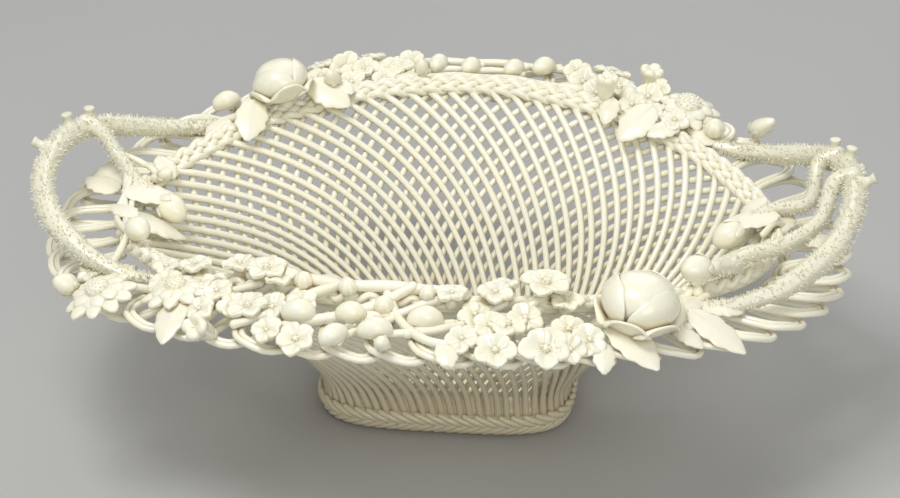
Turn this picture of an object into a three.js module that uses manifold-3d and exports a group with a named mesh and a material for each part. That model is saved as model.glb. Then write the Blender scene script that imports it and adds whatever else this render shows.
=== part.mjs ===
// Openwork porcelain basket with applied flowers, in millimetres, +Z up.
// The origin is under the middle of the foot, on the surface that the basket stands on.
// Two layers of rods cross in the wall, a rope finishes its edge, and two strands
// weave a border of loops outside the rope. Flowers, leaves and the two branch
// handles are seated on the rope and on the border.
import * as THREE from 'three';
import Module from 'manifold-3d';
import { mergeVertices } from 'three/addons/utils/BufferGeometryUtils.js';

const wasm = await Module();
wasm.setup();

// Foot
const footLength = 99;
const footWidth = 59;
const footHeight = 11;
const footThickness = 3;
const footRelief = 0.8;
const footFlare = 2.8;
const footPower = 3.8;
const footStrandCount = 58;

// Base and wall
const baseLevel = 4;
const baseThickness = 3;
const basePitch = 12;
const baseBar = 3;
const baseMargin = 4;
const wallRodCount = 76;
const rodDepth = 2.6;
const rodWidthAtFoot = 2;
const rodWidthAtRim = 2.8;
const rodStepCount = 4;
const twistShare = 0.14;
const twistPower = 1.4;
const flarePower = 1.4;
const fit = 0.3;
const layerFit = 0.8;

// Rim rope
const rimLength = 256;
const rimWidth = 182;
const rimPower = 1.9;
const rimLevel = 87.4;
const rimWave = 8.9;
const ropeRadius = 4.5;
const ropeLobeCount = 60;

// Looped border
const borderEndReach = 29;
const borderSideReach = 28.5;
const borderPower = 2.07;
const strandWidth = 6;
const strandThickness = 3;
const strandWaveCount = 25;
const strandRise = 2.3;
const strandRootShare = 0.13;
const strandLeanShare = 0.12;
const strandPhaseShares = [0.125, 0.25, 0.375, 0.5, 0.625, 0.75, 0.875];

// Branch handles
const handleEndCount = 4;
const handleRise = 21;
const handleRadius = 4.6;
const handleEndShare = 0.6;
const handleTaperShare = 0.16;
const handleReachShare = 1.03;
const twigRadius = 3;
const stubRadius = 2.4;
const stubLength = 4.5;
const stubShares = [0.28, 0.36, 0.48];
const stubAngles = [0, 10, 60];
const barkRelief = 0.5;
const twigReach = 9.5;

// Applied flowers
const roseRadius = 15;
const roseHeight = 21;
const daisyRadius = 15;
const daisyHeight = 13;
const flowerRadius = 9;
const flowerHeight = 8;
const bellRadius = 5.5;
const bellHeight = 13;
const budRadius = 5;
const budLength = 14;
const stalkRadius = 1.7;
const appliedFit = 0.45;
const leafLength = 26;
const leafWidth = 16;
const leafThickness = 1.6;
const roseAngle = 15;
const leafAngle = -30;
const bellAngle = 50;
const openAngle = 22;

const up = new THREE.Vector3(0, 0, 1);
const turn = 2 * Math.PI;

// A closed oval of the given half sizes, walked by its share of the way round.
function oval(halfLength, halfWidth, ovalPower) {
  const count = 720;
  const power = 2 / ovalPower;
  const points = [];
  const travelled = [0];
  for (let i = 0; i <= count; i++) {
    const angle = (i / count) * turn;
    const c = Math.cos(angle);
    const s = Math.sin(angle);
    const x = halfLength * Math.sign(c) * Math.abs(c) ** power;
    const y = halfWidth * Math.sign(s) * Math.abs(s) ** power;
    points.push(new THREE.Vector2(x, y));
    if (i > 0) travelled.push(travelled[i - 1] + points[i].distanceTo(points[i - 1]));
  }
  const whole = travelled[count];
  return (share) => {
    const wanted = (share - Math.floor(share)) * whole;
    let low = 0;
    let high = count;
    while (high - low > 1) {
      const middle = (low + high) >> 1;
      if (travelled[middle] <= wanted) low = middle;
      else high = middle;
    }
    const along = (wanted - travelled[low]) / (travelled[high] - travelled[low]);
    return points[low].clone().lerp(points[high], along);
  };
}

const nudge = 1e-3;

// The same walk, moved inwards across the line by a distance.
function inset(line, distance) {
  return (share) => {
    const ahead = line(share + nudge).sub(line(share - nudge)).normalize();
    return line(share).add(new THREE.Vector2(-ahead.y, ahead.x).multiplyScalar(distance));
  };
}

const footOutline = oval(footLength / 2, footWidth / 2, footPower);
const wallInset = footThickness + fit + rodDepth + layerFit / 2;
const footOval = inset(footOutline, wallInset);
const rimOval = oval(rimLength / 2, rimWidth / 2, rimPower);
const borderOval = oval(rimLength / 2 + borderEndReach, rimWidth / 2 + borderSideReach, borderPower);
const wallBottom = baseLevel + baseThickness;

// The rim is boat shaped: low at the two ends and high along the two sides.
function rimHeight(share) {
  const at = rimOval(share);
  const angle = Math.atan2(at.y / rimWidth, at.x / rimLength);
  return rimLevel - rimWave * Math.cos(2 * angle);
}

// depth 0 is the rope's centre line and depth 1 the centre line of the loops' tips.
function rimPoint(share, depth, rise) {
  const at = rimOval(share).lerp(borderOval(share), depth);
  return new THREE.Vector3(at.x, at.y, rimHeight(share) + rise);
}

function wallPoint(share, level) {
  const at = footOval(share).lerp(rimOval(share), level ** flarePower);
  const height = THREE.MathUtils.lerp(wallBottom, rimHeight(share), level);
  return new THREE.Vector3(at.x, at.y, height);
}

function directionBetween(from, to) {
  return to.clone().sub(from).normalize();
}

function wallNormal(share, level) {
  const low = Math.min(Math.max(level, nudge), 1 - nudge);
  const round = directionBetween(wallPoint(share - nudge, low), wallPoint(share + nudge, low));
  const rise = directionBetween(wallPoint(share, low - nudge), wallPoint(share, low + nudge));
  return round.cross(rise).normalize();
}

function geometryFrom(points, faces) {
  const geometry = new THREE.BufferGeometry();
  const flat = points.flatMap((point) => [point.x, point.y, point.z]);
  let volume = 0;
  const edge = new THREE.Vector3();
  for (const [a, b, c] of faces) {
    volume += edge.crossVectors(points[a], points[b]).dot(points[c]);
  }
  const outward = volume > 0 ? faces : faces.map(([a, b, c]) => [a, c, b]);
  geometry.setAttribute('position', new THREE.Float32BufferAttribute(flat, 3));
  geometry.setIndex(outward.flat());
  return geometry;
}

// A tube through rings of points that all have the same count. A closed tube may
// meet its first ring turned by some corners.
function tube(rings, closed, seamTurn = 0) {
  const sides = rings[0].length;
  const faces = [];
  const last = closed ? rings.length : rings.length - 1;
  for (let i = 0; i < last; i++) {
    const here = i * sides;
    const next = ((i + 1) % rings.length) * sides;
    const skip = i === rings.length - 1 ? seamTurn : 0;
    for (let j = 0; j < sides; j++) {
      const k = (j + 1) % sides;
      const nextJ = next + ((j + skip) % sides);
      const nextK = next + ((k + skip) % sides);
      faces.push([here + j, here + k, nextK], [here + j, nextK, nextJ]);
    }
  }
  if (!closed) {
    const end = last * sides;
    for (let j = 1; j < sides - 1; j++) {
      faces.push([0, j + 1, j], [end, end + j, end + j + 1]);
    }
  }
  return geometryFrom(rings.flat(), faces);
}

// Points round a centre in the plane across the path, from radii and a first angle.
function ringAround(centre, along, above, radii, firstAngle = 0) {
  const side = along.clone().cross(above).normalize();
  const top = side.clone().cross(along).normalize();
  return radii.map((radius, j) => {
    const angle = firstAngle + (j / radii.length) * turn;
    const point = centre.clone().addScaledVector(side, radius * Math.cos(angle));
    return point.addScaledVector(top, radius * Math.sin(angle));
  });
}

function boxRing(centre, along, above, halfWidth, halfThickness) {
  const side = along.clone().cross(above).normalize();
  const top = side.clone().cross(along).normalize();
  const corners = [[1, 1], [-1, 1], [-1, -1], [1, -1]];
  return corners.map(([a, b]) => {
    const point = centre.clone().addScaledVector(side, a * halfWidth);
    return point.addScaledVector(top, b * halfThickness);
  });
}

function solid(geometry) {
  const bare = geometry.clone();
  bare.deleteAttribute('normal');
  bare.deleteAttribute('uv');
  const merged = mergeVertices(bare);
  const vertProperties = Float32Array.from(merged.attributes.position.array);
  const triVerts = Uint32Array.from(merged.index.array);
  return new wasm.Manifold(new wasm.Mesh({ numProp: 3, vertProperties, triVerts }));
}

function joined(geometries) {
  const whole = geometries.map(solid).reduce((sum, next) => sum.add(next));
  const mesh = whole.getMesh();
  const geometry = new THREE.BufferGeometry();
  geometry.setAttribute('position', new THREE.BufferAttribute(mesh.vertProperties, 3));
  geometry.setIndex(new THREE.BufferAttribute(mesh.triVerts, 1));
  return geometry;
}

const ivory = 0xefe6cc;
const paleIvory = 0xf4edd8;
const tanIvory = 0xdcceab;

function piece(name, geometry, colour) {
  const material = new THREE.MeshStandardMaterial({ color: colour, roughness: 0.22, metalness: 0 });
  material.flatShading = true;
  const mesh = new THREE.Mesh(geometry, material);
  mesh.name = name;
  return mesh;
}

// The foot is a band of slanted strands in two rows that meet in a chevron.
function footPlait() {
  const outer = footOutline;
  const inner = inset(footOutline, footThickness);
  const rings = [];
  const columns = 2 * footStrandCount;
  const slant = 1 / columns;
  for (let i = 0; i < columns; i++) {
    const share = i / columns;
    const groove = (i % 2) * (footRelief / footThickness);
    const edge = outer(share).lerp(inner(share), groove);
    const crest = outer(share + slant).lerp(inner(share + slant), groove);
    const hidden = inner(share);
    const flare = outer(share).sub(hidden).setLength(footFlare);
    rings.push([
      new THREE.Vector3(edge.x, edge.y, 0),
      new THREE.Vector3(crest.x + flare.x / 2, crest.y + flare.y / 2, footHeight / 2),
      new THREE.Vector3(edge.x + flare.x, edge.y + flare.y, footHeight),
      new THREE.Vector3(hidden.x + flare.x, hidden.y + flare.y, footHeight),
      new THREE.Vector3(hidden.x, hidden.y, 0),
    ]);
  }
  return piece('foot_plait', tube(rings, true), tanIvory);
}

// The base is a lattice of crossed bars inside the lower ring of the wall.
function baseLattice() {
  const edge = wallInset + rodDepth + layerFit / 2 + fit;
  const outline = inset(footOutline, edge);
  const shape = new THREE.Shape();
  const count = 40;
  for (let i = 0; i < count; i++) {
    const at = outline(i / count);
    if (i === 0) shape.moveTo(at.x, at.y);
    else shape.lineTo(at.x, at.y);
  }
  shape.closePath();
  const halfHole = basePitch / 2 - baseBar / Math.SQRT2;
  const columns = Math.floor((footLength / 2 - edge - baseMargin) / (basePitch / 2));
  const rows = Math.floor((footWidth / 2 - edge - baseMargin) / (basePitch / 2));
  for (let i = 1 - columns; i < columns; i++) {
    for (let j = 1 - rows; j < rows; j++) {
      if ((i + j) % 2 !== 0) continue;
      const x = (i * basePitch) / 2;
      const y = (j * basePitch) / 2;
      const hole = new THREE.Path();
      hole.moveTo(x + halfHole, y);
      hole.lineTo(x, y + halfHole);
      hole.lineTo(x - halfHole, y);
      hole.lineTo(x, y - halfHole);
      hole.closePath();
      shape.holes.push(hole);
    }
  }
  const geometry = new THREE.ExtrudeGeometry(shape, { depth: baseThickness, bevelEnabled: false });
  geometry.translate(0, 0, baseLevel);
  return piece('base_lattice', geometry, tanIvory);
}

// One layer of the wall: rods that lean one way, standing on a ring of their own.
// The ring and the rods share their corner points, so the layer is one body.
function rodLayer(name, lean, outward) {
  const offset = (outward * (rodDepth + layerFit)) / 2;
  const points = [];
  const faces = [];
  const rodShare = (start, level) => start + lean * twistShare * (level ** twistPower - 0.5);
  // A rod ends just short of the rope, which it meets at a slant.
  const endLevel = (start) => {
    const share = rodShare(start, 1);
    const ropeWay = directionBetween(wallPoint(share - nudge, 1), wallPoint(share + nudge, 1));
    const climb = wallPoint(share, 1).sub(wallPoint(share, 1 - nudge)).divideScalar(nudge);
    const reach = ropeRadius + fit + rodWidthAtRim / 2;
    return 1 - reach / climb.cross(ropeWay).length();
  };
  const perRod = 4 * (rodStepCount + 1) + 2;
  for (let k = 0; k < wallRodCount; k++) {
    const start = k / wallRodCount;
    const end = endLevel(start);
    for (let i = 0; i <= rodStepCount; i++) {
      const level = (i / rodStepCount) * end;
      const share = rodShare(start, level);
      const normal = wallNormal(share, level);
      const centre = wallPoint(share, level).addScaledVector(normal, offset);
      const low = Math.max(level - nudge, 0);
      const along = directionBetween(
        wallPoint(rodShare(start, low), low),
        wallPoint(rodShare(start, low + nudge), low + nudge),
      );
      if (i === 0) along.copy(up);
      const width = THREE.MathUtils.lerp(rodWidthAtFoot, rodWidthAtRim, level);
      if (i === 0) normal.setZ(0).normalize();
      points.push(...boxRing(centre, along, normal, width / 2, rodDepth / 2));
    }
    const share = rodShare(start, 0);
    const normal = wallNormal(share, 0).setZ(0).normalize();
    const centre = wallPoint(share, 0).addScaledVector(normal, offset);
    centre.z -= baseThickness;
    points.push(centre.clone().addScaledVector(normal, rodDepth / 2));
    points.push(centre.clone().addScaledVector(normal, -rodDepth / 2));
  }
  // Corner order in a rod's ring: 0 outer ahead, 1 outer behind, 2 inner behind, 3 inner ahead.
  for (let k = 0; k < wallRodCount; k++) {
    const base = k * perRod;
    const next = ((k + 1) % wallRodCount) * perRod;
    for (let i = 0; i < rodStepCount; i++) {
      const here = base + 4 * i;
      for (let j = 0; j < 4; j++) {
        const m = (j + 1) % 4;
        faces.push([here + j, here + m, here + 4 + m], [here + j, here + 4 + m, here + 4 + j]);
      }
    }
    const tip = base + 4 * rodStepCount;
    faces.push([tip, tip + 1, tip + 2], [tip, tip + 2, tip + 3]);
    const outerFoot = base + perRod - 2;
    const innerFoot = base + perRod - 1;
    const nextOuter = next + perRod - 2;
    const nextInner = next + perRod - 1;
    const [a, b, c, d] = [0, 1, 2, 3].map((j) => base + j);
    const nextB = next + 1;
    const nextC = next + 2;
    faces.push([b, a, outerFoot], [a, nextOuter, outerFoot], [a, nextB, nextOuter]);
    faces.push([d, c, innerFoot], [d, innerFoot, nextInner], [d, nextInner, nextC]);
    faces.push([a, d, nextC], [a, nextC, nextB]);
    faces.push([outerFoot, nextOuter, nextInner], [outerFoot, nextInner, innerFoot]);
  }
  return piece(name, geometryFrom(points, faces), ivory);
}

// A square bar twisted along the rim, so that its edges read as the strands of a rope.
function rimRope() {
  const rings = [];
  const count = 2 * ropeLobeCount;
  const radii = [ropeRadius, ropeRadius, ropeRadius, ropeRadius];
  for (let i = 0; i < count; i++) {
    const share = i / count;
    const centre = rimPoint(share, 0, 0);
    const along = directionBetween(rimPoint(share - nudge, 0, 0), rimPoint(share + nudge, 0, 0));
    rings.push(ringAround(centre, along, up, radii, (i * Math.PI) / 4));
  }
  return piece('rim_rope', tube(rings, true, ropeLobeCount % 4), paleIvory);
}

const borderDrop = ropeRadius + fit + strandThickness / 2;
const strandTop = strandRise + strandThickness / 2;

const outwards = (phaseShare) => (1 - Math.cos(phaseShare * turn)) / 2;

// Where a border strand is on its way round: family 0 or 1, wave number and share of
// that wave. Its loops lean ahead.
function strandShare(family, wave, phaseShare) {
  const lean = strandLeanShare * outwards(phaseShare);
  return (wave + family / 2 + phaseShare + lean) / strandWaveCount;
}

// The centre of a border strand. It goes out over the other strand and comes back under it.
function strandPoint(family, wave, phaseShare) {
  const share = strandShare(family, wave, phaseShare);
  const depth = THREE.MathUtils.lerp(strandRootShare, 1, outwards(phaseShare));
  const sine = Math.sin(phaseShare * turn);
  const lift = strandRise * Math.sign(sine) * Math.abs(sine) ** 0.4;
  return rimPoint(share, depth, lift - borderDrop);
}

function borderStrand(name, family) {
  const rings = [];
  for (let wave = 0; wave < strandWaveCount; wave++) {
    for (const phaseShare of strandPhaseShares) {
      const centre = strandPoint(family, wave, phaseShare);
      const before = strandPoint(family, wave, phaseShare - nudge);
      const after = strandPoint(family, wave, phaseShare + nudge);
      const along = directionBetween(before, after);
      rings.push(boxRing(centre, along, up, strandWidth / 2, strandThickness / 2));
    }
  }
  return piece(name, tube(rings, true), family === 0 ? ivory : paleIvory);
}

// The nearest share at which a strand of the rope crests at a lean from its top.
function crestShare(share, lean) {
  const lobeLean = lean / 90;
  return (Math.round(share * ropeLobeCount + lobeLean) - lobeLean) / ropeLobeCount;
}

// A seat on the rope, leaning outwards from its top by an angle in degrees.
function ropeSeat(nearShare, lean = 0) {
  const share = crestShare(nearShare, lean);
  const ahead = directionBetween(rimPoint(share - nudge, 0, 0), rimPoint(share + nudge, 0, 0));
  const outward = ahead.clone().cross(up).normalize();
  const top = outward.clone().cross(ahead).normalize();
  const angle = THREE.MathUtils.degToRad(lean);
  const above = top.multiplyScalar(Math.cos(angle)).addScaledVector(outward, Math.sin(angle));
  const position = rimPoint(share, 0, 0).addScaledVector(above, ropeRadius + fit);
  return { position, ahead, above };
}

// A seat on top of a border strand, at the crossing or the tip that is nearest to a
// share. It leans outwards by an angle in degrees.
const crossingPhase = 0.25;
const tipPhase = 0.5;

function strandSeat(share, phaseShare, lean) {
  const first = strandShare(0, 0, phaseShare);
  const number = Math.round(2 * strandWaveCount * (share - first));
  const family = number % 2;
  const wave = (number - family) / 2;
  const { ahead, above } = ropeSeat(share);
  const position = strandPoint(family, wave, phaseShare);
  position.addScaledVector(above, strandThickness / 2 + appliedFit);
  const outward = ahead.clone().cross(above).normalize();
  const angle = THREE.MathUtils.degToRad(lean);
  position.addScaledVector(above, (stalkRadius * Math.sin(angle)) / 2);
  above.multiplyScalar(Math.cos(angle)).addScaledVector(outward, Math.sin(angle));
  return { position, ahead, above };
}

const crossingSeat = (share, lean = 0) => strandSeat(share, crossingPhase, lean);
const tipSeat = (share, lean = 0) => strandSeat(share, tipPhase, lean);

// A closed body of rings round an axis that starts on the seat. A ring gives its
// radius and height at each share of a turn. The bend leans the head over sideways.
function bloom(steps, rings, topHeight, bendShare = 0) {
  const points = [new THREE.Vector3()];
  const faces = [];
  for (const ring of rings) {
    for (let i = 0; i < steps; i++) {
      const share = (i + 0.5) / steps;
      const [radius, height] = ring(share);
      const angle = share * turn;
      const x = radius * Math.cos(angle) + bendShare * topHeight * (height / topHeight) ** 2;
      points.push(new THREE.Vector3(x, radius * Math.sin(angle), height));
    }
  }
  points.push(new THREE.Vector3(bendShare * topHeight, 0, topHeight));
  const top = points.length - 1;
  for (let i = 0; i < steps; i++) {
    const next = (i + 1) % steps;
    faces.push([0, 1 + next, 1 + i], [top, top - steps + i, top - steps + next]);
    for (let r = 0; r < rings.length - 1; r++) {
      const here = 1 + r * steps;
      const over = here + steps;
      faces.push([here + i, here + next, over + next], [here + i, over + next, over + i]);
    }
  }
  return geometryFrom(points, faces);
}

const petalWave = (count) => (share) => (1 + Math.cos(turn * count * share)) / 2;

// Five thick petals that open from a short stalk.
function smallFlower(scale) {
  const wave = petalWave(5);
  const radius = flowerRadius * scale;
  const height = flowerHeight * scale;
  const reach = (share) => radius * (0.61 + 0.52 * wave(share));
  return bloom(15, [
    () => [stalkRadius, 0],
    (share) => [reach(share), height * 0.5],
    (share) => [reach(share), height * 0.72],
    () => [radius * 0.28, height * 0.7],
    () => [radius * 0.22, height * 0.95],
  ], height);
}

// Ten spoon-shaped petals round a dome.
function daisy(scale, domeShare) {
  const wave = petalWave(10);
  const radius = daisyRadius * scale;
  const height = daisyHeight * scale;
  const reach = (share) => radius * (0.66 + 0.45 * wave(share));
  return bloom(30, [
    () => [1.2 * stalkRadius, 0],
    (share) => [reach(share), height * 0.56],
    (share) => [reach(share), height * 0.68],
    () => [radius * domeShare, height * 0.66],
    () => [radius * domeShare * 0.85, height * 0.88],
  ], height);
}

// A closed ball of petals over a lip of outer ones.
function rose(scale) {
  const wave = petalWave(5);
  const radius = roseRadius * scale;
  const height = roseHeight * scale;
  return bloom(15, [
    () => [1.2 * stalkRadius, 0],
    () => [radius * 0.6, height * 0.14],
    () => [radius * 0.9, height * 0.36],
    (share) => [radius * (0.88 + 0.16 * wave(share)), height * 0.48],
    () => [radius * 0.84, height * 0.5],
    () => [radius * 0.84, height * 0.64],
    (share) => [radius * (0.62 + 0.12 * wave(share)), height * 0.9],
    () => [radius * 0.44, height * 0.86],
    () => [radius * 0.3, height * 0.98],
  ], height * 0.94);
}

function bell(scale) {
  const wave = petalWave(4);
  const radius = bellRadius * scale;
  const height = bellHeight * scale;
  return bloom(12, [
    () => [stalkRadius, 0],
    () => [radius * 0.7, height * 0.2],
    () => [radius * 0.68, height * 0.7],
    (share) => [radius * (0.85 + 0.2 * wave(share)), height],
    () => [radius * 0.5, height * 0.8],
  ], height * 0.6);
}

function bud(scale, bendShare = 0) {
  const radius = budRadius * scale;
  const length = budLength * scale;
  return bloom(6, [
    () => [stalkRadius, 0],
    () => [stalkRadius, length * 0.16],
    () => [radius * 0.86, length * 0.32],
    () => [radius, length * 0.52],
    () => [radius * 0.74, length * 0.82],
    () => [radius * 0.35, length * 0.97],
  ], length, bendShare);
}

// A scalloped blade with a raised middle, lying away from its seat along x.
function leaf(scale) {
  const widthShares = [0.3, 0.82, 0.74, 1, 0.84, 0.78, 0.5, 0.08];
  const rings = widthShares.map((share, i) => {
    const x = leafLength * scale * (i / (widthShares.length - 1) - 0.1);
    const half = (leafWidth * scale * share) / 2;
    const lift = leafThickness * (0.7 + 0.6 * share);
    return [
      new THREE.Vector3(x, half, leafThickness / 2),
      new THREE.Vector3(x, 0, lift),
      new THREE.Vector3(x, -half, leafThickness / 2),
      new THREE.Vector3(x, 0, 0),
    ];
  });
  return tube(rings, false);
}

// Share of the way along a lying bud, and its thickness there as a share of the radius.
const lyingShares = [[0, 0.36], [0.3, 0.36], [0.42, 0.78], [0.62, 1], [0.84, 0.84], [1, 0.4]];

// A bud that lies on what carries it, from the end of its stem to its tip. Both ends
// are given as a share of the way round and a depth.
function lyingBud(stemEnd, tip, scale, carrierTop) {
  const centres = lyingShares.map(([along, thickShare]) => {
    const share = THREE.MathUtils.lerp(stemEnd[0], tip[0], along);
    const depth = THREE.MathUtils.lerp(stemEnd[1], tip[1], along);
    return rimPoint(share, depth, carrierTop + appliedFit + budRadius * scale * thickShare);
  });
  const rings = centres.map((centre, i) => {
    const before = centres[Math.max(i - 1, 0)];
    const after = centres[Math.min(i + 1, centres.length - 1)];
    const radii = Array(6).fill(budRadius * scale * lyingShares[i][1]);
    return ringAround(centre, directionBetween(before, after), up, radii, -turn / 4);
  });
  return tube(rings, false);
}

// Puts a piece on a seat, turned about the seat's own upright by degrees.
function seated(name, geometry, seat, spin, colour) {
  const mesh = piece(name, geometry, colour);
  mesh.rotation.z = THREE.MathUtils.degToRad(spin);
  const holder = new THREE.Group();
  const across = seat.above.clone().cross(seat.ahead).normalize();
  const ahead = across.clone().cross(seat.above).normalize();
  const basis = new THREE.Matrix4().makeBasis(ahead, across, seat.above);
  holder.quaternion.setFromRotationMatrix(basis);
  holder.position.copy(seat.position);
  holder.add(mesh);
  return holder;
}

// A rough branch along a curve, with bark in relief. Its thickness is given at each
// share of its length.
function branch(curve, thickness, sides, steps) {
  const rings = [];
  for (let i = 0; i <= steps; i++) {
    const at = i / steps;
    const radii = Array.from({ length: sides }, (_, j) => thickness(at) - barkRelief * ((i + j) % 2));
    rings.push(ringAround(curve.getPointAt(at), curve.getTangentAt(at), up, radii, -turn / 4));
  }
  return tube(rings, false);
}

// Height above the rim's line of the border's top, and of a branch that lies on it.
const borderTop = strandTop - borderDrop;
const overBorder = (radius) => borderTop + fit + radius;
const sideShare = (side, share) => (side > 0 ? share : 0.5 - share);
const handleEnd = (handleEndCount + 0.5) / (2 * strandWaveCount);

// Share of the way to the end, depth in the border, share of the rise and of the radius.
const handleShares = [
  [1, 0.5, 0, handleEndShare],
  [0.8, 0.72, 0.16, 1],
  [0.5, 0.98, 0.66, 1],
  [0.2, handleReachShare, 0.97, 1],
  [-0.2, handleReachShare, 0.97, 1],
  [-0.5, 0.98, 0.66, 1],
  [-0.8, 0.72, 0.16, 1],
  [-1, 0.5, 0, handleEndShare],
];

function handleThickness(at) {
  const full = Math.min(1, Math.min(at, 1 - at) / handleTaperShare);
  return handleRadius * THREE.MathUtils.lerp(handleEndShare, 1, full);
}

function handleCurve(side) {
  const points = handleShares.map(([along, depth, rise, thick]) => {
    const share = sideShare(side, along * handleEnd);
    return rimPoint(share, depth, overBorder(handleRadius * thick) + rise * handleRise);
  });
  return new THREE.CatmullRomCurve3(points, false, 'centripetal');
}

// A sawn-off twig that stands out of a branch.
function stub(curve, at, lean, side) {
  const centre = curve.getPointAt(at);
  const angle = THREE.MathUtils.degToRad(lean);
  const away = new THREE.Vector3(side * Math.sin(angle), 0, Math.cos(angle));
  const geometry = new THREE.CylinderGeometry(stubRadius, stubRadius, handleRadius + stubLength, 6);
  geometry.translate(0, (handleRadius + stubLength) / 2, 0);
  const stand = new THREE.Quaternion().setFromUnitVectors(new THREE.Vector3(0, 1, 0), away);
  geometry.applyQuaternion(stand);
  geometry.translate(centre.x, centre.y, centre.z);
  return geometry;
}

function handle(name, side) {
  const curve = handleCurve(side);
  const wood = branch(curve, handleThickness, 6, 18);
  const stubs = stubShares.map((at, i) => stub(curve, at, stubAngles[i], side));
  return piece(name, joined([wood, ...stubs]), ivory);
}

// A point on the inner side of a handle, where a thinner branch starts against it.
// It clears a share of its own radius, more where it runs along the handle.
function beside(side, at, ownShare) {
  const point = handleCurve(side).getPointAt(at);
  const reach = handleRadius + fit + twigRadius * ownShare;
  const inward = new THREE.Vector3(-point.x, -point.y, 0).normalize();
  return point.addScaledVector(inward, reach);
}

// A point over the rope, moved inwards from its middle by a distance.
function ropeTop(share, rise, inwards = 0) {
  const at = inset(rimOval, inwards)(share);
  const height = rimHeight(share) + ropeRadius + fit + twigRadius + rise;
  return new THREE.Vector3(at.x, at.y, height);
}

function twigCurve(points) {
  return new THREE.CatmullRomCurve3(points, false, 'centripetal');
}

const leftTwigCurve = twigCurve([
  beside(-1, 0.3, 0.6),
  rimPoint(sideShare(-1, 0.035), 0.5, overBorder(twigRadius) + handleRise * 0.45),
  ropeTop(crestShare(sideShare(-1, 0.016), 0), 0),
  ropeTop(sideShare(-1, 0.01), -twigRadius, twigReach),
]);
const rightTwigCurve = twigCurve([
  beside(1, 0.3, 0.75),
  rimPoint(0.02, 0.5, overBorder(twigRadius) + handleRise * 0.4),
  ropeTop(crestShare(0.012, 0), 0),
  ropeTop(0.01, -twigRadius, twigReach),
]);
const rightBranchCurve = twigCurve([
  beside(1, 0.45, 0.7),
  rimPoint(-0.012, 0.62, overBorder(twigRadius) + handleRise * 0.72),
  rimPoint(-0.03, 0.32, overBorder(twigRadius) + handleRise * 0.5),
  ropeTop(-0.052, twigRadius / 2),
  ropeTop(crestShare(-0.067, 0), 0),
  ropeTop(-0.08, twigRadius / 2),
]);

// A seat at the free end of a twig, looking along it.
function twigEnd(curve) {
  const above = curve.getTangentAt(1);
  const position = curve.getPointAt(1).addScaledVector(above, fit);
  return { position, ahead: above.clone().cross(up).normalize(), above };
}

const tapered = (at) => twigRadius * THREE.MathUtils.lerp(1, 0.7, at);
const even = () => twigRadius;

const basket = new THREE.Group();
basket.add(footPlait(), baseLattice());
basket.add(rodLayer('inner_rods', 1, -1), rodLayer('outer_rods', -1, 1));
basket.add(rimRope());
basket.add(borderStrand('border_strand_a', 0), borderStrand('border_strand_b', 1));
basket.add(handle('left_handle_branch', -1), handle('right_handle_branch', 1));
basket.add(piece('left_twig', branch(leftTwigCurve, tapered, 5, 8), ivory));
basket.add(piece('right_twig', branch(rightTwigCurve, tapered, 5, 8), ivory));
basket.add(piece('right_side_branch', branch(rightBranchCurve, even, 5, 12), ivory));

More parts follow.
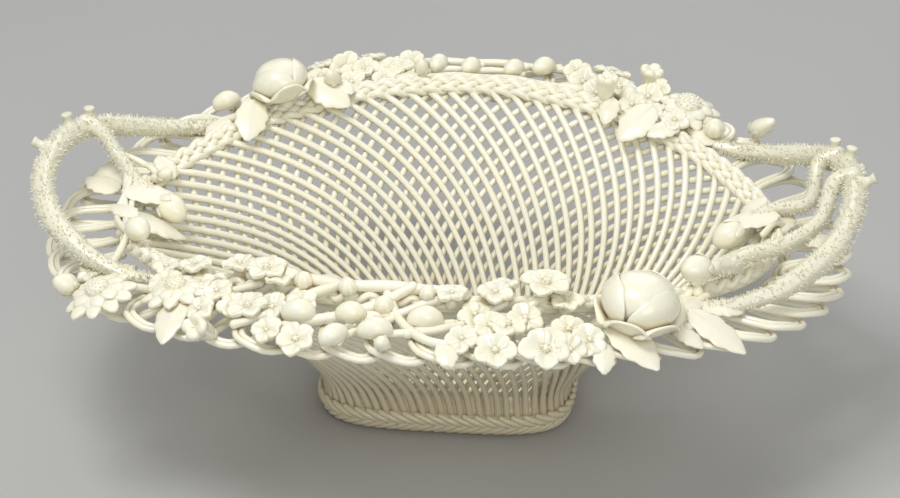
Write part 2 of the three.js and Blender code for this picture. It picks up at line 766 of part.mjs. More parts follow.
const applied = [
  ['back_rose', rose(0.9), ropeSeat(0.361, roseAngle), 0, paleIvory],
  ['back_rose_leaf_a', leaf(0.8), ropeSeat(0.382, leafAngle), 100, ivory],
  ['back_rose_leaf_b', leaf(0.8), ropeSeat(0.342, leafAngle), 80, ivory],
  ['back_bud_a', bud(0.75, 0.3), ropeSeat(0.328), 60, paleIvory],
  ['back_flower_a', smallFlower(0.85), crossingSeat(0.332), 10, paleIvory],
  ['back_flower_b', smallFlower(0.85), tipSeat(0.325, openAngle), 40, paleIvory],
  ['back_flower_c', smallFlower(0.85), crossingSeat(0.312), 5, paleIvory],
  ['back_flower_f', smallFlower(0.9), tipSeat(0.305, openAngle), 25, paleIvory],
  ['back_flower_g', smallFlower(0.9), crossingSeat(0.292), 50, paleIvory],
  ['back_flower_d', smallFlower(0.9), tipSeat(0.185, openAngle), 25, paleIvory],
  ['back_flower_e', smallFlower(0.85), crossingSeat(0.172), 0, paleIvory],
  ['back_bell_a', bell(1), tipSeat(0.165), 0, paleIvory],
  ['back_bell_b', bell(0.9), ropeSeat(0.166), 30, paleIvory],
  ['back_daisy', daisy(0.95, 0.42), crossingSeat(0.132), 0, paleIvory],
  ['back_daisy_leaf', leaf(0.9), ropeSeat(0.14, leafAngle), 90, ivory],
  ['front_round_bud', bud(0.95, 0), tipSeat(0.585, bellAngle), 0, paleIvory],
  ['front_daisy_a', daisy(0.93, 0.36), tipSeat(0.605, roseAngle), 18, paleIvory],
  ['front_daisy_b', daisy(0.85, 0.34), crossingSeat(0.632), 10, paleIvory],
  ['front_daisy_leaf', leaf(0.75), tipSeat(0.645, openAngle), -90, ivory],
  ['front_bell', bell(1), tipSeat(0.665, bellAngle), 0, paleIvory],
  ['front_flower_a', smallFlower(0.85), crossingSeat(0.672), 10, paleIvory],
  ['front_flower_g', smallFlower(0.9), ropeSeat(0.66), 30, paleIvory],
  ['front_flower_b', smallFlower(0.8), tipSeat(0.705, openAngle), 0, paleIvory],
  ['front_flower_c', smallFlower(0.84), tipSeat(0.785, openAngle), 24, paleIvory],
  ['front_flower_d', smallFlower(1), ropeSeat(0.812), 20, paleIvory],
  ['front_flower_e', smallFlower(0.85), crossingSeat(0.792), 20, paleIvory],
  ['front_flower_f', smallFlower(1), tipSeat(0.805, openAngle), 40, paleIvory],
  ['front_rose', rose(1.1), crossingSeat(0.852), 0, paleIvory],
  ['front_rose_leaf_a', leaf(0.8), tipSeat(0.845, openAngle), -90, ivory],
  ['front_rose_leaf_b', leaf(0.8), tipSeat(0.885, openAngle), -100, ivory],
  ['left_rosebud', bud(1.2, 0), twigEnd(leftTwigCurve), 0, paleIvory],
  ['left_leaf_a', leaf(0.9), crossingSeat(0.472), 200, ivory],
  ['left_leaf_b', leaf(1), ropeSeat(0.515, leafAngle), 90, ivory],
  ['right_rosebud', bud(1.2, 0), twigEnd(rightTwigCurve), 0, paleIvory],
  ['right_leaf', leaf(1), ropeSeat(0.98, leafAngle), 90, ivory],
  ['right_front_bud', bud(1.2, 0), twigEnd(rightBranchCurve), 0, paleIvory],
  ['right_back_rosebud', bud(1, 0), tipSeat(0.105), 0, paleIvory],
];
for (const [name, geometry, seat, spin, colour] of applied) {
  basket.add(seated(name, geometry, seat, spin, colour));
}

const lying = [
  ['back_tapered_bud', [0.372, 0.6], [0.39, 0.72], 0.9, borderTop],
  ['back_bud_b', [0.265, 0.92], [0.273, 0.5], 0.8, borderTop],
  ['back_bud_c', [0.247, 0.78], [0.256, 0.42], 0.8, borderTop],
  ['back_bud_d', [0.224, 0.82], [0.233, 0.45], 0.8, borderTop],
  ['back_bud_e', [0.209, 0.98], [0.219, 0.6], 0.85, borderTop],
  ['front_bud_a', [0.71, 0.5], [0.69, 0.6], 1, borderTop],
  ['front_bud_b', [0.732, 0.4], [0.714, 0.48], 0.9, borderTop],
  ['front_bud_c', [0.748, 0.7], [0.728, 0.84], 0.9, borderTop],
  ['front_bud_d', [0.77, 0.42], [0.748, 0.52], 0.95, borderTop],
  ['front_bud_e', [0.726, 0.72], [0.716, 1.14], 0.85, borderTop],
  ['left_bud', [0.543, 0], [0.566, 0], 1.05, ropeRadius],
];
for (const [name, stemEnd, tip, scale, carrierTop] of lying) {
  basket.add(piece(name, lyingBud(stemEnd, tip, scale, carrierTop), paleIvory));
}

export default basket;
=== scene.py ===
"""Openwork porcelain basket with applied flowers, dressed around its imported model.

Lengths are in millimetres and become metres where a mesh is made. Shares run once
round the oval, anticlockwise from the right handle.
"""

import math

import bpy
import numpy as np
from mathutils import Matrix, Vector


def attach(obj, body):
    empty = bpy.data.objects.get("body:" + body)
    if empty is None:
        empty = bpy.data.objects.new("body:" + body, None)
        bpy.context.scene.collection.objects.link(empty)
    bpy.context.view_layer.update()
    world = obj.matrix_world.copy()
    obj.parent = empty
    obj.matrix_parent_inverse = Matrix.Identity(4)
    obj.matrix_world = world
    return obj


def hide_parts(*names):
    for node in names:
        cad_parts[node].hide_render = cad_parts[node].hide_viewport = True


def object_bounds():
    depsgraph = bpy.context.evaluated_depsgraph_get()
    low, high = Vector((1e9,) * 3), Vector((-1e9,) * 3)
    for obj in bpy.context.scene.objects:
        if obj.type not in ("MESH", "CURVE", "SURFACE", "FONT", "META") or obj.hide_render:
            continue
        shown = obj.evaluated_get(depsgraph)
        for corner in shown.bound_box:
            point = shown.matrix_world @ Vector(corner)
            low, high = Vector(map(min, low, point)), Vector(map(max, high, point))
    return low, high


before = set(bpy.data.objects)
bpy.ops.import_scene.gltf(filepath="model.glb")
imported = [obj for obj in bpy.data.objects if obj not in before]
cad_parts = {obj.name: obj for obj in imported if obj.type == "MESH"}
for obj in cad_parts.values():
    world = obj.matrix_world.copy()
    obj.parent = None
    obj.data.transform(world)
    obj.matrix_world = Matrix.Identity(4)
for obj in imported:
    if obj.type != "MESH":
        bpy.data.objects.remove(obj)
cad_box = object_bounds()

MM = 0.001
TURN = 2 * math.pi
NUDGE = 1e-3
UP = np.array([0.0, 0.0, 1.0])
dice = np.random.default_rng(11)
BOX_MARGIN = 0.03
BOX_LOW = np.array(cad_box[0]) / MM + BOX_MARGIN
BOX_HIGH = np.array(cad_box[1]) / MM - BOX_MARGIN
GROUND_GAP = 0.2

# Foot
FOOT_LENGTH = 99
FOOT_WIDTH = 59
FOOT_HEIGHT = 11
FOOT_THICKNESS = 3
FOOT_FLARE = 2.8
FOOT_POWER = 3.8
FOOT_STRANDS = 58

# Base and wall
BASE_LEVEL = 4
BASE_THICKNESS = 3
ROD_DEPTH = 2.6
LAYER_FIT = 0.8
FIT = 0.3
ROD_COUNT = 76
ROD_RADII = ((0, 0.06, 0.16, 0.35, 0.6, 1), (1.85, 1.6, 1.2, 1.2, 1.32, 1.5))
ROD_LAYER_OFFSET = 1.2
FOOT_SPREAD = 4.8
FOOT_SPREAD_LEVEL = 0.1
TWIST_SHARE = 0.14
TWIST_POWER = 1.4
FLARE_POWER = 1.4

# Rim rope
RIM_LENGTH = 256
RIM_WIDTH = 182
RIM_POWER = 1.9
RIM_LEVEL = 87.4
RIM_WAVE = 8.9
ROPE_RADIUS = 4.5
ROPE_LOBES = 60
BRAID_STRANDS = 5
BRAID_PERIODS = 18
BRAID_HALF_WIDTH = 3.1
BRAID_HALF_DEPTH = 1.3
BRAID_STRAND_RADIUS = 1.6
BRAID_LIFT = 1.0
BRAID_TILT = 28

# Looped border
BORDER_END_REACH = 29
BORDER_SIDE_REACH = 28.5
BORDER_POWER = 2.07
STRAND_THICKNESS = 3
STRAND_WAVES = 25
STRAND_RISE = 2.3
STRAND_ROOT_SHARE = 0.13
STRAND_LEAN_SHARE = 0.12
STRAND_SWEEP_SHARE = 0.02
STRAND_BULGE_SHARE = 0.26
BORDER_ROD_RADIUS = 1.28
BORDER_ROD_OFFSET = 1.18

# Branch handles
HANDLE_END_COUNT = 4
HANDLE_RISE = 21
HANDLE_RADIUS = 4.6
HANDLE_END_SHARE = 0.6
HANDLE_TAPER_SHARE = 0.16
HANDLE_REACH_SHARE = 1.03
TWIG_RADIUS = 3
STUB_RADIUS = 2.4
STUB_LENGTH = 4.5
STUB_SHARES = (0.28, 0.36, 0.48)
STUB_ANGLES = (0, 10, 60)
TWIG_REACH = 9.5

# Applied flowers
ROSE_RADIUS = 15
ROSE_HEIGHT = 21
DAISY_RADIUS = 15
DAISY_HEIGHT = 13
FLOWER_RADIUS = 9
FLOWER_HEIGHT = 8
BELL_RADIUS = 5.5
BELL_HEIGHT = 13
BUD_RADIUS = 5
BUD_LENGTH = 14
STALK_RADIUS = 1.7
APPLIED_FIT = 0.45
LEAF_LENGTH = 26
LEAF_WIDTH = 16
LEAF_THICKNESS = 1.6
ROSE_ANGLE = 15
LEAF_ANGLE = -30
BELL_ANGLE = 50
OPEN_ANGLE = 22


# Lines round the basket
def unit(vectors):
    return vectors / np.linalg.norm(vectors, axis=-1, keepdims=True)


def oval(half_length, half_width, oval_power):
    """A closed oval walked by its share of the way round."""
    angle = np.linspace(0, TURN, 721)
    c, s = np.cos(angle), np.sin(angle)
    power = 2 / oval_power
    x = half_length * np.sign(c) * np.abs(c) ** power
    y = half_width * np.sign(s) * np.abs(s) ** power
    travelled = np.concatenate([[0], np.cumsum(np.hypot(np.diff(x), np.diff(y)))])
    travelled /= travelled[-1]

    def walk(share):
        part = np.mod(share, 1.0)
        return np.stack([np.interp(part, travelled, x), np.interp(part, travelled, y)], -1)

    return walk


def inset(line, distance):
    def walk(share):
        ahead = unit(line(share + NUDGE) - line(share - NUDGE))
        inward = np.stack([-ahead[..., 1], ahead[..., 0]], -1)
        return line(share) + distance * inward

    return walk


foot_outline = oval(FOOT_LENGTH / 2, FOOT_WIDTH / 2, FOOT_POWER)
WALL_INSET = FOOT_THICKNESS + FIT + ROD_DEPTH + LAYER_FIT / 2
foot_oval = inset(foot_outline, WALL_INSET)
rim_oval = oval(RIM_LENGTH / 2, RIM_WIDTH / 2, RIM_POWER)
border_oval = oval(
    RIM_LENGTH / 2 + BORDER_END_REACH, RIM_WIDTH / 2 + BORDER_SIDE_REACH, BORDER_POWER)
WALL_BOTTOM = BASE_LEVEL + BASE_THICKNESS


def raised(at, height):
    """Points of the plane at one height, or each at its own."""
    return np.concatenate([at, np.broadcast_to(height, at.shape[:-1])[..., None]], -1)


def rim_height(share):
    at = rim_oval(share)
    angle = np.arctan2(at[..., 1] / RIM_WIDTH, at[..., 0] / RIM_LENGTH)
    return RIM_LEVEL - RIM_WAVE * np.cos(2 * angle)


def rim_point(share, depth, rise):
    """depth 0 is the rope's centre line and 1 the centre line of the loops' tips."""
    share, depth, rise = np.broadcast_arrays(share, depth, rise)
    at = rim_oval(share) * (1 - depth[..., None]) + border_oval(share) * depth[..., None]
    return raised(at, rim_height(share) + rise)


def wall_point(share, level):
    """level 0 is where the wall stands on the foot and 1 the rope's centre line."""
    share, level = np.broadcast_arrays(share, level)
    mix = (np.maximum(level, 0) ** FLARE_POWER)[..., None]
    at = foot_oval(share) * (1 - mix) + rim_oval(share) * mix
    return raised(at, WALL_BOTTOM + (rim_height(share) - WALL_BOTTOM) * level)


def wall_normal(share, level):
    low = np.clip(level, NUDGE, 1 - NUDGE)
    around = wall_point(share + NUDGE, low) - wall_point(share - NUDGE, low)
    rise = wall_point(share, low + NUDGE) - wall_point(share, low - NUDGE)
    return unit(np.cross(around, rise))


# Meshes
class Shape:
    """Points and faces that become one object."""

    def __init__(self):
        self.points = []
        self.faces = []
        self.smooth = []
        self.count = 0

    def add(self, points, faces, smooth=True):
        points = np.asarray(points, float).reshape(-1, 3)
        start = self.count
        self.points.append(points)
        self.faces.extend([tuple(i + start for i in face) for face in faces])
        self.smooth.extend([smooth] * len(faces))
        self.count += len(points)
        return self

    def merge(self, other, matrix):
        points = other.all_points() @ matrix[:3, :3].T + matrix[:3, 3]
        return self.add(points, other.faces)

    def all_points(self):
        return np.concatenate(self.points)


def along_path(points, closed=False):
    if closed:
        return unit(np.roll(points, -1, 0) - np.roll(points, 1, 0))
    return unit(np.gradient(points, axis=0))


def carried_normals(ahead):
    """Normals that follow a path without twisting about it."""
    normal = np.array(UP)
    if abs(np.dot(normal, ahead[0])) > 0.95:
        normal = np.array([1.0, 0.0, 0.0])
    out = []
    for way in ahead:
        normal = normal - way * np.dot(normal, way)
        normal = normal / np.linalg.norm(normal)
        out.append(normal)
    return np.array(out)


def path_frame(points, closed=True, above=UP):
    """The ways ahead, aside and up along a path."""
    ahead = along_path(points, closed)
    side = unit(np.cross(ahead, carried_normals(ahead) if above is None else above))
    return ahead, side, np.cross(side, ahead)


# The domed end of a tube
CAP_RINGS = 3
CAP_REACH_SHARE = 0.9
CAP_TIP_SHARE = 0.12


def tube(points, radii, sides=10, closed=False, above=None, flat=1.0, blunt=True):
    """A round tube along a path, with domed ends where it is open."""
    radii = np.broadcast_to(radii, len(points))
    ahead, side, top = path_frame(points, closed, above)
    if not closed and blunt:
        angles = [k * math.pi / 2 / CAP_RINGS for k in range(CAP_RINGS)]
        reach = np.array([math.cos(angle) for angle in angles])[:, None]
        grow = np.maximum([math.sin(angle) for angle in angles], CAP_TIP_SHARE)
        head = points[0] - ahead[0] * radii[0] * reach * CAP_REACH_SHARE
        tail = points[-1] + ahead[-1] * radii[-1] * reach[::-1] * CAP_REACH_SHARE
        points = np.concatenate([head, points, tail])
        side, top = (np.pad(way, ((CAP_RINGS, CAP_RINGS), (0, 0)), "edge") for way in (side, top))
        radii = np.concatenate([radii[0] * grow, radii, radii[-1] * grow[::-1]])
    angle = np.arange(sides) / sides * TURN
    ring = (np.cos(angle)[None, :, None] * side[:, None, :]
            + flat * np.sin(angle)[None, :, None] * top[:, None, :])
    all_points = points[:, None, :] + ring * radii[:, None, None]
    return all_points.reshape(-1, 3), ring_faces(len(points), sides, closed)


def ring_faces(count, sides, closed):
    faces = []
    last = count if closed else count - 1
    for i in range(last):
        here, over = i * sides, ((i + 1) % count) * sides
        for j in range(sides):
            k = (j + 1) % sides
            faces.append((here + j, over + j, over + k, here + k))
    if not closed:
        faces.append(tuple(range(sides)))
        faces.append(tuple(reversed(range((count - 1) * sides, count * sides))))
    return faces


def sheet(surface, rows, columns, thickness, edge_share=0.35):
    """A thin closed leaf of clay. surface takes u across, -1 to 1, and v along, 0 to 1."""
    v, u = np.meshgrid(np.linspace(0, 1, rows + 1), np.linspace(-1, 1, columns + 1), indexing="ij")
    middle = surface(u, v)
    normal = np.cross(np.gradient(middle, axis=1), np.gradient(middle, axis=0))
    normal = unit(normal + 1e-9)
    thick = thickness / 2 * (edge_share + (1 - edge_share) * (1 - u ** 4) * (1 - v ** 6))
    front = middle + normal * thick[..., None]
    back = middle - normal * thick[..., None]
    across = columns + 1
    half = (rows + 1) * across
    faces = []
    for i in range(rows):
        for j in range(columns):
            a = i * across + j
            b, c, d = a + 1, a + across + 1, a + across
            faces.append((a, b, c, d))
            faces.append((half + a, half + d, half + c, half + b))
    edge = list(range(across))
    edge += [i * across + columns for i in range(1, rows + 1)]
    edge += [rows * across + j for j in range(columns - 1, -1, -1)]
    edge += [i * across for i in range(rows - 1, 0, -1)]
    for a, b in zip(edge, edge[1:] + edge[:1]):
        faces.append((a, half + a, half + b, b))
    return np.concatenate([front.reshape(-1, 3), back.reshape(-1, 3)]), faces


def polar(radius, angle, height):
    return np.stack([radius * np.cos(angle), radius * np.sin(angle), height], -1)


def spun(profile, sides, wobble=lambda angle, r, z: (r, z)):
    """A closed body turned round z from (radius, height) pairs that start and end on it."""
    inner = profile[1:-1]
    angle = np.arange(sides) / sides * TURN
    rings = [wobble(angle, np.full(sides, r), np.full(sides, z)) for r, z in inner]
    points = [polar(r, angle, z) for r, z in rings]
    points = [[[0, 0, profile[0][1]]], *points, [[0, 0, profile[-1][1]]]]
    faces = []
    for j in range(sides):
        k = (j + 1) % sides
        faces.append((0, 1 + k, 1 + j))
        for i in range(len(inner) - 1):
            here = 1 + i * sides
            over = here + sides
            faces.append((here + j, here + k, over + k, over + j))
        top = 1 + (len(inner) - 1) * sides
        faces.append((top + j, top + k, top + sides))
    return np.concatenate(points), faces


def ball(centre, radius, height=None, sides=8, rings=5):
    height = radius if height is None else height
    angles = [math.pi * i / rings for i in range(1, rings)]
    profile = [(radius * math.sin(angle), -height * math.cos(angle)) for angle in angles]
    points, faces = spun([(0, -height), *profile, (0, height)], sides)
    return points + centre, faces


# Materials
class Graph:
    """The nodes of a new material, with the place on the object at hand."""

    def __init__(self, name):
        self.material = bpy.data.materials.new(name)
        self.material.use_nodes = True
        self.nodes = self.material.node_tree.nodes
        self.shader = self.nodes["Principled BSDF"]
        self.where = self.nodes.new("ShaderNodeTexCoord").outputs["Object"]

    def feed(self, node, values):
        """Sets inputs of the node, or links them where the value is another's output."""
        for name, value in values.items():
            if isinstance(value, bpy.types.NodeSocket):
                self.material.node_tree.links.new(value, node.inputs[name])
            else:
                node.inputs[name].default_value = value
        return node

    def node(self, kind, output, values):
        return self.feed(self.nodes.new("ShaderNode" + kind), values).outputs[output]

    def mixed(self, factor, first, second):
        mix = self.nodes.new("ShaderNodeMix")
        mix.data_type = "RGBA"
        first, second = ((*end, 1) if isinstance(end, tuple) else end for end in (first, second))
        return self.feed(mix, {"Factor": factor, 6: first, 7: second}).outputs[2]

    def ranged(self, value, low, high, to_low, to_high):
        ends = {"From Min": low, "From Max": high, "To Min": to_low, "To Max": to_high}
        return self.node("MapRange", "Result", {"Value": value, **ends})

    def noise(self, scale, detail=3.0):
        values = {"Scale": scale, "Detail": detail, "Vector": self.where}
        return self.node("TexNoise", "Fac", values)


# TAN: painted shade in the crevices, partly glaze pooled there
TAN = (0.60, 0.48, 0.30)
# LOW_TAN: painted shade towards the foot, under the rim, partly glaze pooled low down
LOW_TAN = (0.60, 0.50, 0.31)
IVORY = (0.91, 0.87, 0.69)
COOL_IVORY = (0.89, 0.87, 0.72)
CLOUD_SCALE = 55
GLOSS_SCALE = 240
GRAIN_SCALE = 620
GLOSS_RANGE = 0.12
# How far the occlusion node looks for crevices to give painted shade
CREVICE_WIDTH = 3.5 * MM
# The heights over which that painted shade towards the foot fades out
LOW_TAN_HEIGHTS = (12 * MM, 46 * MM)


def glazed(name, ivory, cool, pooling_and_shade, grain, rough, low_shade_and_pooling=0.0, soft=0.0):
    """Glazed porcelain: ivory with cooler clouds, tan in the crevices as painted shade and partly
    pooled glaze, and if asked tan towards the foot, as painted shade and partly pooled glaze."""
    graph = Graph(name)
    base = graph.mixed(graph.ranged(graph.noise(CLOUD_SCALE), 0.35, 0.68, 0, 1), ivory, cool)
    # Tan towards the foot: painted shade under the rim, partly glaze pooled low down
    if low_shade_and_pooling:
        height = graph.node("SeparateXYZ", "Z", {"Vector": graph.where})
        base = graph.mixed(graph.ranged(height, *LOW_TAN_HEIGHTS, low_shade_and_pooling, 0), base, LOW_TAN)
    # Tan where the occlusion node finds crevices: painted shade, partly glaze pooled there
    hollow = graph.nodes.new("ShaderNodeAmbientOcclusion")
    hollow.samples = 3
    graph.feed(hollow, {"Distance": CREVICE_WIDTH})
    depth = graph.ranged(hollow.outputs["AO"], 0.05, 0.6, pooling_and_shade, 0)
    gloss = graph.ranged(graph.noise(GLOSS_SCALE), 0.3, 0.7, rough, rough + GLOSS_RANGE)
    relief = {"Strength": 0.35, "Distance": grain * MM, "Height": graph.noise(GRAIN_SCALE, 2.0)}
    graph.feed(graph.shader, {
        "Base Color": graph.mixed(depth, base, TAN),
        "Roughness": gloss,
        "Normal": graph.node("Bump", "Normal", relief),
        "Specular IOR Level": 0.5,
        "Coat Weight": 0.4,
        "Coat Roughness": 0.12,
        "Subsurface Weight": soft,
        "Subsurface Radius": (2.4 * MM, 1.9 * MM, 1.2 * MM),
        "Subsurface Scale": 1.0,
    })
    return graph.material


# Two ivories, how tan the crevices get (painted shade and pooled glaze), the grain's depth,
# the roughness, how tan it gets towards the foot (painted shade and pooled glaze) and how
# deep light goes in
GLAZE_LOOKS = {
    # The foot's ivories are darkened towards tan: painted shade of the low foot, partly glaze
    # pooled there. The woven base shares them.
    "glazed_foot": ("foot", (0.76, 0.67, 0.47), (0.74, 0.66, 0.47), 1.0, 0.2, 0.2),
    "glazed_rods": ("rods", IVORY, COOL_IVORY, 0.3, 0.1, 0.16, 0.2),
    "glazed_rope": ("rope", IVORY, COOL_IVORY, 0.7, 0.12, 0.17),
    "glazed_border": ("border", IVORY, COOL_IVORY, 0.7, 0.1, 0.16),
    "glazed_branch": ("bark", (0.80, 0.77, 0.60), (0.77, 0.75, 0.60), 0.12, 0.4, 0.3),
    "glazed_petals": ("petals", (0.90, 0.86, 0.67), (0.88, 0.86, 0.70), 0.75, 0.08, 0.24, 0, 0.1),
    "glazed_leaves": ("leaves", (0.88, 0.83, 0.65), COOL_IVORY, 0.7, 0.1, 0.38, 0, 0.1),
    # The outer rods: the rods' glaze, much tanner towards the foot, as painted shade of the outer
    # wall under the rim
    "outer_rods": ("outer_rods", IVORY, COOL_IVORY, 0.3, 0.1, 0.16, 0.75),
}
glazes = {key: glazed("glaze_on_" + on, *look) for key, (on, *look) in GLAZE_LOOKS.items()}


def linked(name, data):
    obj = bpy.data.objects.new(name, data)
    bpy.context.scene.collection.objects.link(obj)
    return obj


def piece(name, shape, slot, replaces=(), levels=0, glaze=None):
    """Makes the object, lays it on the basket's one body and hides the parts it stands for."""
    mesh = bpy.data.meshes.new(name)
    points = np.clip(shape.all_points(), BOX_LOW, BOX_HIGH)
    mesh.from_pydata((points * MM).tolist(), [], shape.faces)
    mesh.update()
    obj = linked(name, mesh)
    mesh.polygons.foreach_set("use_smooth", shape.smooth)
    mesh.materials.append(glazes[glaze or slot])
    if levels:
        modifier = obj.modifiers.new("round", "SUBSURF")
        modifier.levels = modifier.render_levels = levels
    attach(obj, "root")
    if replaces:
        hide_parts(*replaces)


# Foot: a band under two rows of slanted strands that meet in a chevron, and the clay
# that joins it to the wall, given as levels on the wall and distances out from it
FOOT_CLAY = ((0.05, 5.4), (0.09, 3.2), (0.13, 1.2), (0.135, -1.4), (0.03, -2.2))
FOOT_BAND_TOP = FOOT_HEIGHT - 0.6
FOOT_STRAND_INSET = 1.2
FOOT_STRAND_RADIUS = 1.42
FOOT_STRAND_PITCHES = 1.95
FOOT_STRAND_START = 1.35
FOOT_STRAND_RISE = FOOT_HEIGHT - 2.3
FOOT_STRAND_CURVE = 0.9
FOOT_STRAND_LIFT = 1.2
FOOT_STRAND_SINK = 0.45


def foot():
    shape = Shape()
    count = 4 * FOOT_STRANDS
    share = np.arange(count) / count
    line = inset(foot_outline, FOOT_STRAND_INSET)
    inner = inset(foot_outline, FOOT_THICKNESS)
    flare = unit(foot_outline(share) - inner(share)) * FOOT_FLARE
    rings = [raised(line(share), GROUND_GAP), raised(line(share) + flare, FOOT_BAND_TOP)]
    rings += [wall_point(share, level) + wall_normal(share, level) * outward
              for level, outward in FOOT_CLAY]
    rings += [raised(inner(share), height) for height in (BASE_LEVEL, GROUND_GAP)]
    points = np.stack(rings, 1).reshape(-1, 3)
    shape.add(points, ring_faces(count, len(rings), True))
    pitch = 1 / FOOT_STRANDS
    v = np.linspace(0, 1, 13)
    swell = np.sin(math.pi * np.clip(0.2 + 0.6 * v, 0, 1)) ** 0.5
    for row in (0, 1):
        level = 0.5 * v ** FOOT_STRAND_CURVE
        level = 1 - level if row else level
        lift = FOOT_STRAND_LIFT * np.sin(math.pi * (0.1 + 0.66 * v)) - FOOT_STRAND_SINK
        height = FOOT_STRAND_START + FOOT_STRAND_RISE * level
        for k in range(FOOT_STRANDS):
            slant = (k + 0.5 * row) * pitch + pitch * FOOT_STRAND_PITCHES * v
            normal = unit(line(slant) - inner(slant))
            at = line(slant) + normal * (FOOT_FLARE * level + lift)[:, None]
            shape.add(*tube(raised(at, height), FOOT_STRAND_RADIUS * swell, 8))
    piece("plaited_foot", shape, "glazed_foot", ["foot_plait"])


# Base: flat strips woven over and under inside the wall
STRIP_PITCH = 5.4
STRIP_WEAVE = 0.62
STRIP_RADIUS = 2.0
STRIP_FLAT = 0.4
STRIP_END_GAP = 1.1
STRIP_ANGLE = 45
BASE_EDGE_RADIUS = 1.4


def base():
    shape = Shape()
    edge = inset(foot_outline, WALL_INSET + ROD_DEPTH + LAYER_FIT / 2 + FIT)
    outline = edge(np.linspace(0, 1, 241))
    middle = BASE_LEVEL + BASE_THICKNESS / 2
    for way in (-1, 1):
        angle = math.radians(way * STRIP_ANGLE)
        along = np.array([math.cos(angle), math.sin(angle)])
        across = np.array([-along[1], along[0]])
        reach = outline @ across
        rows = range(int(reach.min() // STRIP_PITCH), int(reach.max() // STRIP_PITCH) + 1)
        for k in rows:
            offset = (k + 0.5) * STRIP_PITCH
            start, end = line_crossings(outline, along, across, offset)
            if end - start < 2 * STRIP_PITCH:
                continue
            t = np.arange(start + STRIP_END_GAP, end - STRIP_END_GAP, STRIP_PITCH / 6)
            phase = t / STRIP_PITCH + k + (0.5 if way < 0 else 1)
            wave = STRIP_WEAVE * np.cos(math.pi * phase) * way
            path = raised(along * t[:, None] + across * offset, middle + wave)
            shape.add(*tube(path, STRIP_RADIUS, 8, above=UP, flat=STRIP_FLAT))
    rim = raised(edge(np.arange(96) / 96), middle)
    shape.add(*tube(rim, BASE_EDGE_RADIUS, 8, closed=True, above=UP))
    piece("woven_base", shape, "glazed_foot", ["base_lattice"])


def line_crossings(outline, along, across, offset):
    """Where a straight line at an offset enters and leaves the outline."""
    side = outline @ across - offset
    i = np.nonzero(np.diff(np.sign(side)))[0]
    part = side[i] / (side[i] - side[i + 1])
    hits = (outline[i] + (outline[i + 1] - outline[i]) * part[:, None]) @ along
    return (hits.min(), hits.max()) if len(hits) else (0, 0)


# Wall: two layers of round rods that lean opposite ways, a little unevenly
ROD_LEVELS = np.linspace(-0.03, 0.985, 27)
ROD_START_SPREAD = 0.0004
ROD_SWAY_SPREAD = 0.0005
ROD_OFFSET_SPREAD = 0.05
ROD_RADIUS_SPREAD = 0.02
ROD_SWELL = 0.03


def rods(name, node, lean, outward, glaze=None):
    shape = Shape()
    level = ROD_LEVELS
    low = np.maximum(level, 0)
    spread = FOOT_SPREAD * np.exp(-(low / FOOT_SPREAD_LEVEL) ** 2)
    for k in range(ROD_COUNT):
        start = k / ROD_COUNT + dice.normal(0, ROD_START_SPREAD)
        share = start + lean * TWIST_SHARE * (low ** TWIST_POWER - 0.5)
        normal = wall_normal(share, low)
        offset = outward * ROD_LAYER_OFFSET + dice.normal(0, ROD_OFFSET_SPREAD) + spread
        sways = [0, *dice.normal(0, ROD_SWAY_SPREAD, 2), 0]
        share = share + np.interp(level, [0, 0.3, 0.6, 1], sways)
        path = wall_point(share, level) + normal * offset[:, None]
        radius = np.interp(level, *ROD_RADII) * (1 + dice.normal(0, ROD_RADIUS_SPREAD))
        radius = radius * (1 + ROD_SWELL * np.sin(level * 17 + k))
        shape.add(*tube(path, radius, 8, above=normal, blunt=False))
    piece(name, shape, "glazed_rods", [node], glaze=glaze)


# Rim: a flat plait of five strands round a core
BRAID_STEPS = 40
CORE_DROP = 0.8
CORE_RADIUS = 3.2
CORE_FLAT = 0.7


def rope():
    shape = Shape()
    count = BRAID_STEPS * BRAID_PERIODS
    share = np.arange(count) / count
    centre = rim_point(share, 0, 0)
    ahead, side, top = path_frame(centre)
    tilt = math.radians(BRAID_TILT)
    face = top * math.cos(tilt) - side * math.sin(tilt)
    across = np.cross(ahead, face)
    for strand in range(BRAID_STRANDS):
        angle = TURN * (BRAID_PERIODS * share + strand / BRAID_STRANDS)
        over = BRAID_LIFT + BRAID_HALF_DEPTH * np.sin((BRAID_STRANDS - 1) * angle)
        path = centre + across * (BRAID_HALF_WIDTH * np.cos(angle))[:, None] + face * over[:, None]
        shape.add(*tube(path, BRAID_STRAND_RADIUS, 10, closed=True, above=face))
    core = centre - face * CORE_DROP
    shape.add(*tube(core, CORE_RADIUS, 10, closed=True, above=face, flat=CORE_FLAT))
    piece("rope_rim", shape, "glazed_rope", ["rim_rope"])


BORDER_DROP = ROPE_RADIUS + FIT + STRAND_THICKNESS / 2
STRAND_TOP = STRAND_RISE + STRAND_THICKNESS / 2
BORDER_TOP = STRAND_TOP - BORDER_DROP


def outwards(phase_share):
    return (1 - np.cos(phase_share * TURN)) / 2


def strand_share(family, wave, phase_share, sweep=0.0, bulge=0.0):
    """A sweep leans the loops further. A bulge rounds their tips."""
    lean = (STRAND_LEAN_SHARE + sweep) * outwards(phase_share)
    spread = np.sin(phase_share * TURN) * outwards(phase_share) ** 2
    return (wave + family / 2 + phase_share + lean - bulge * spread) / STRAND_WAVES


def strand_point(family, wave, phase_share, sweep=0.0, bulge=0.0):
    share = strand_share(family, wave, phase_share, sweep, bulge)
    depth = STRAND_ROOT_SHARE + (1 - STRAND_ROOT_SHARE) * outwards(phase_share)
    sine = np.sin(phase_share * TURN)
    lift = STRAND_RISE * np.sign(sine) * np.abs(sine) ** 0.4
    return rim_point(share, depth, lift - BORDER_DROP)


WAVE_STEPS = 28
BORDER_ROD_SWELL = 0.04


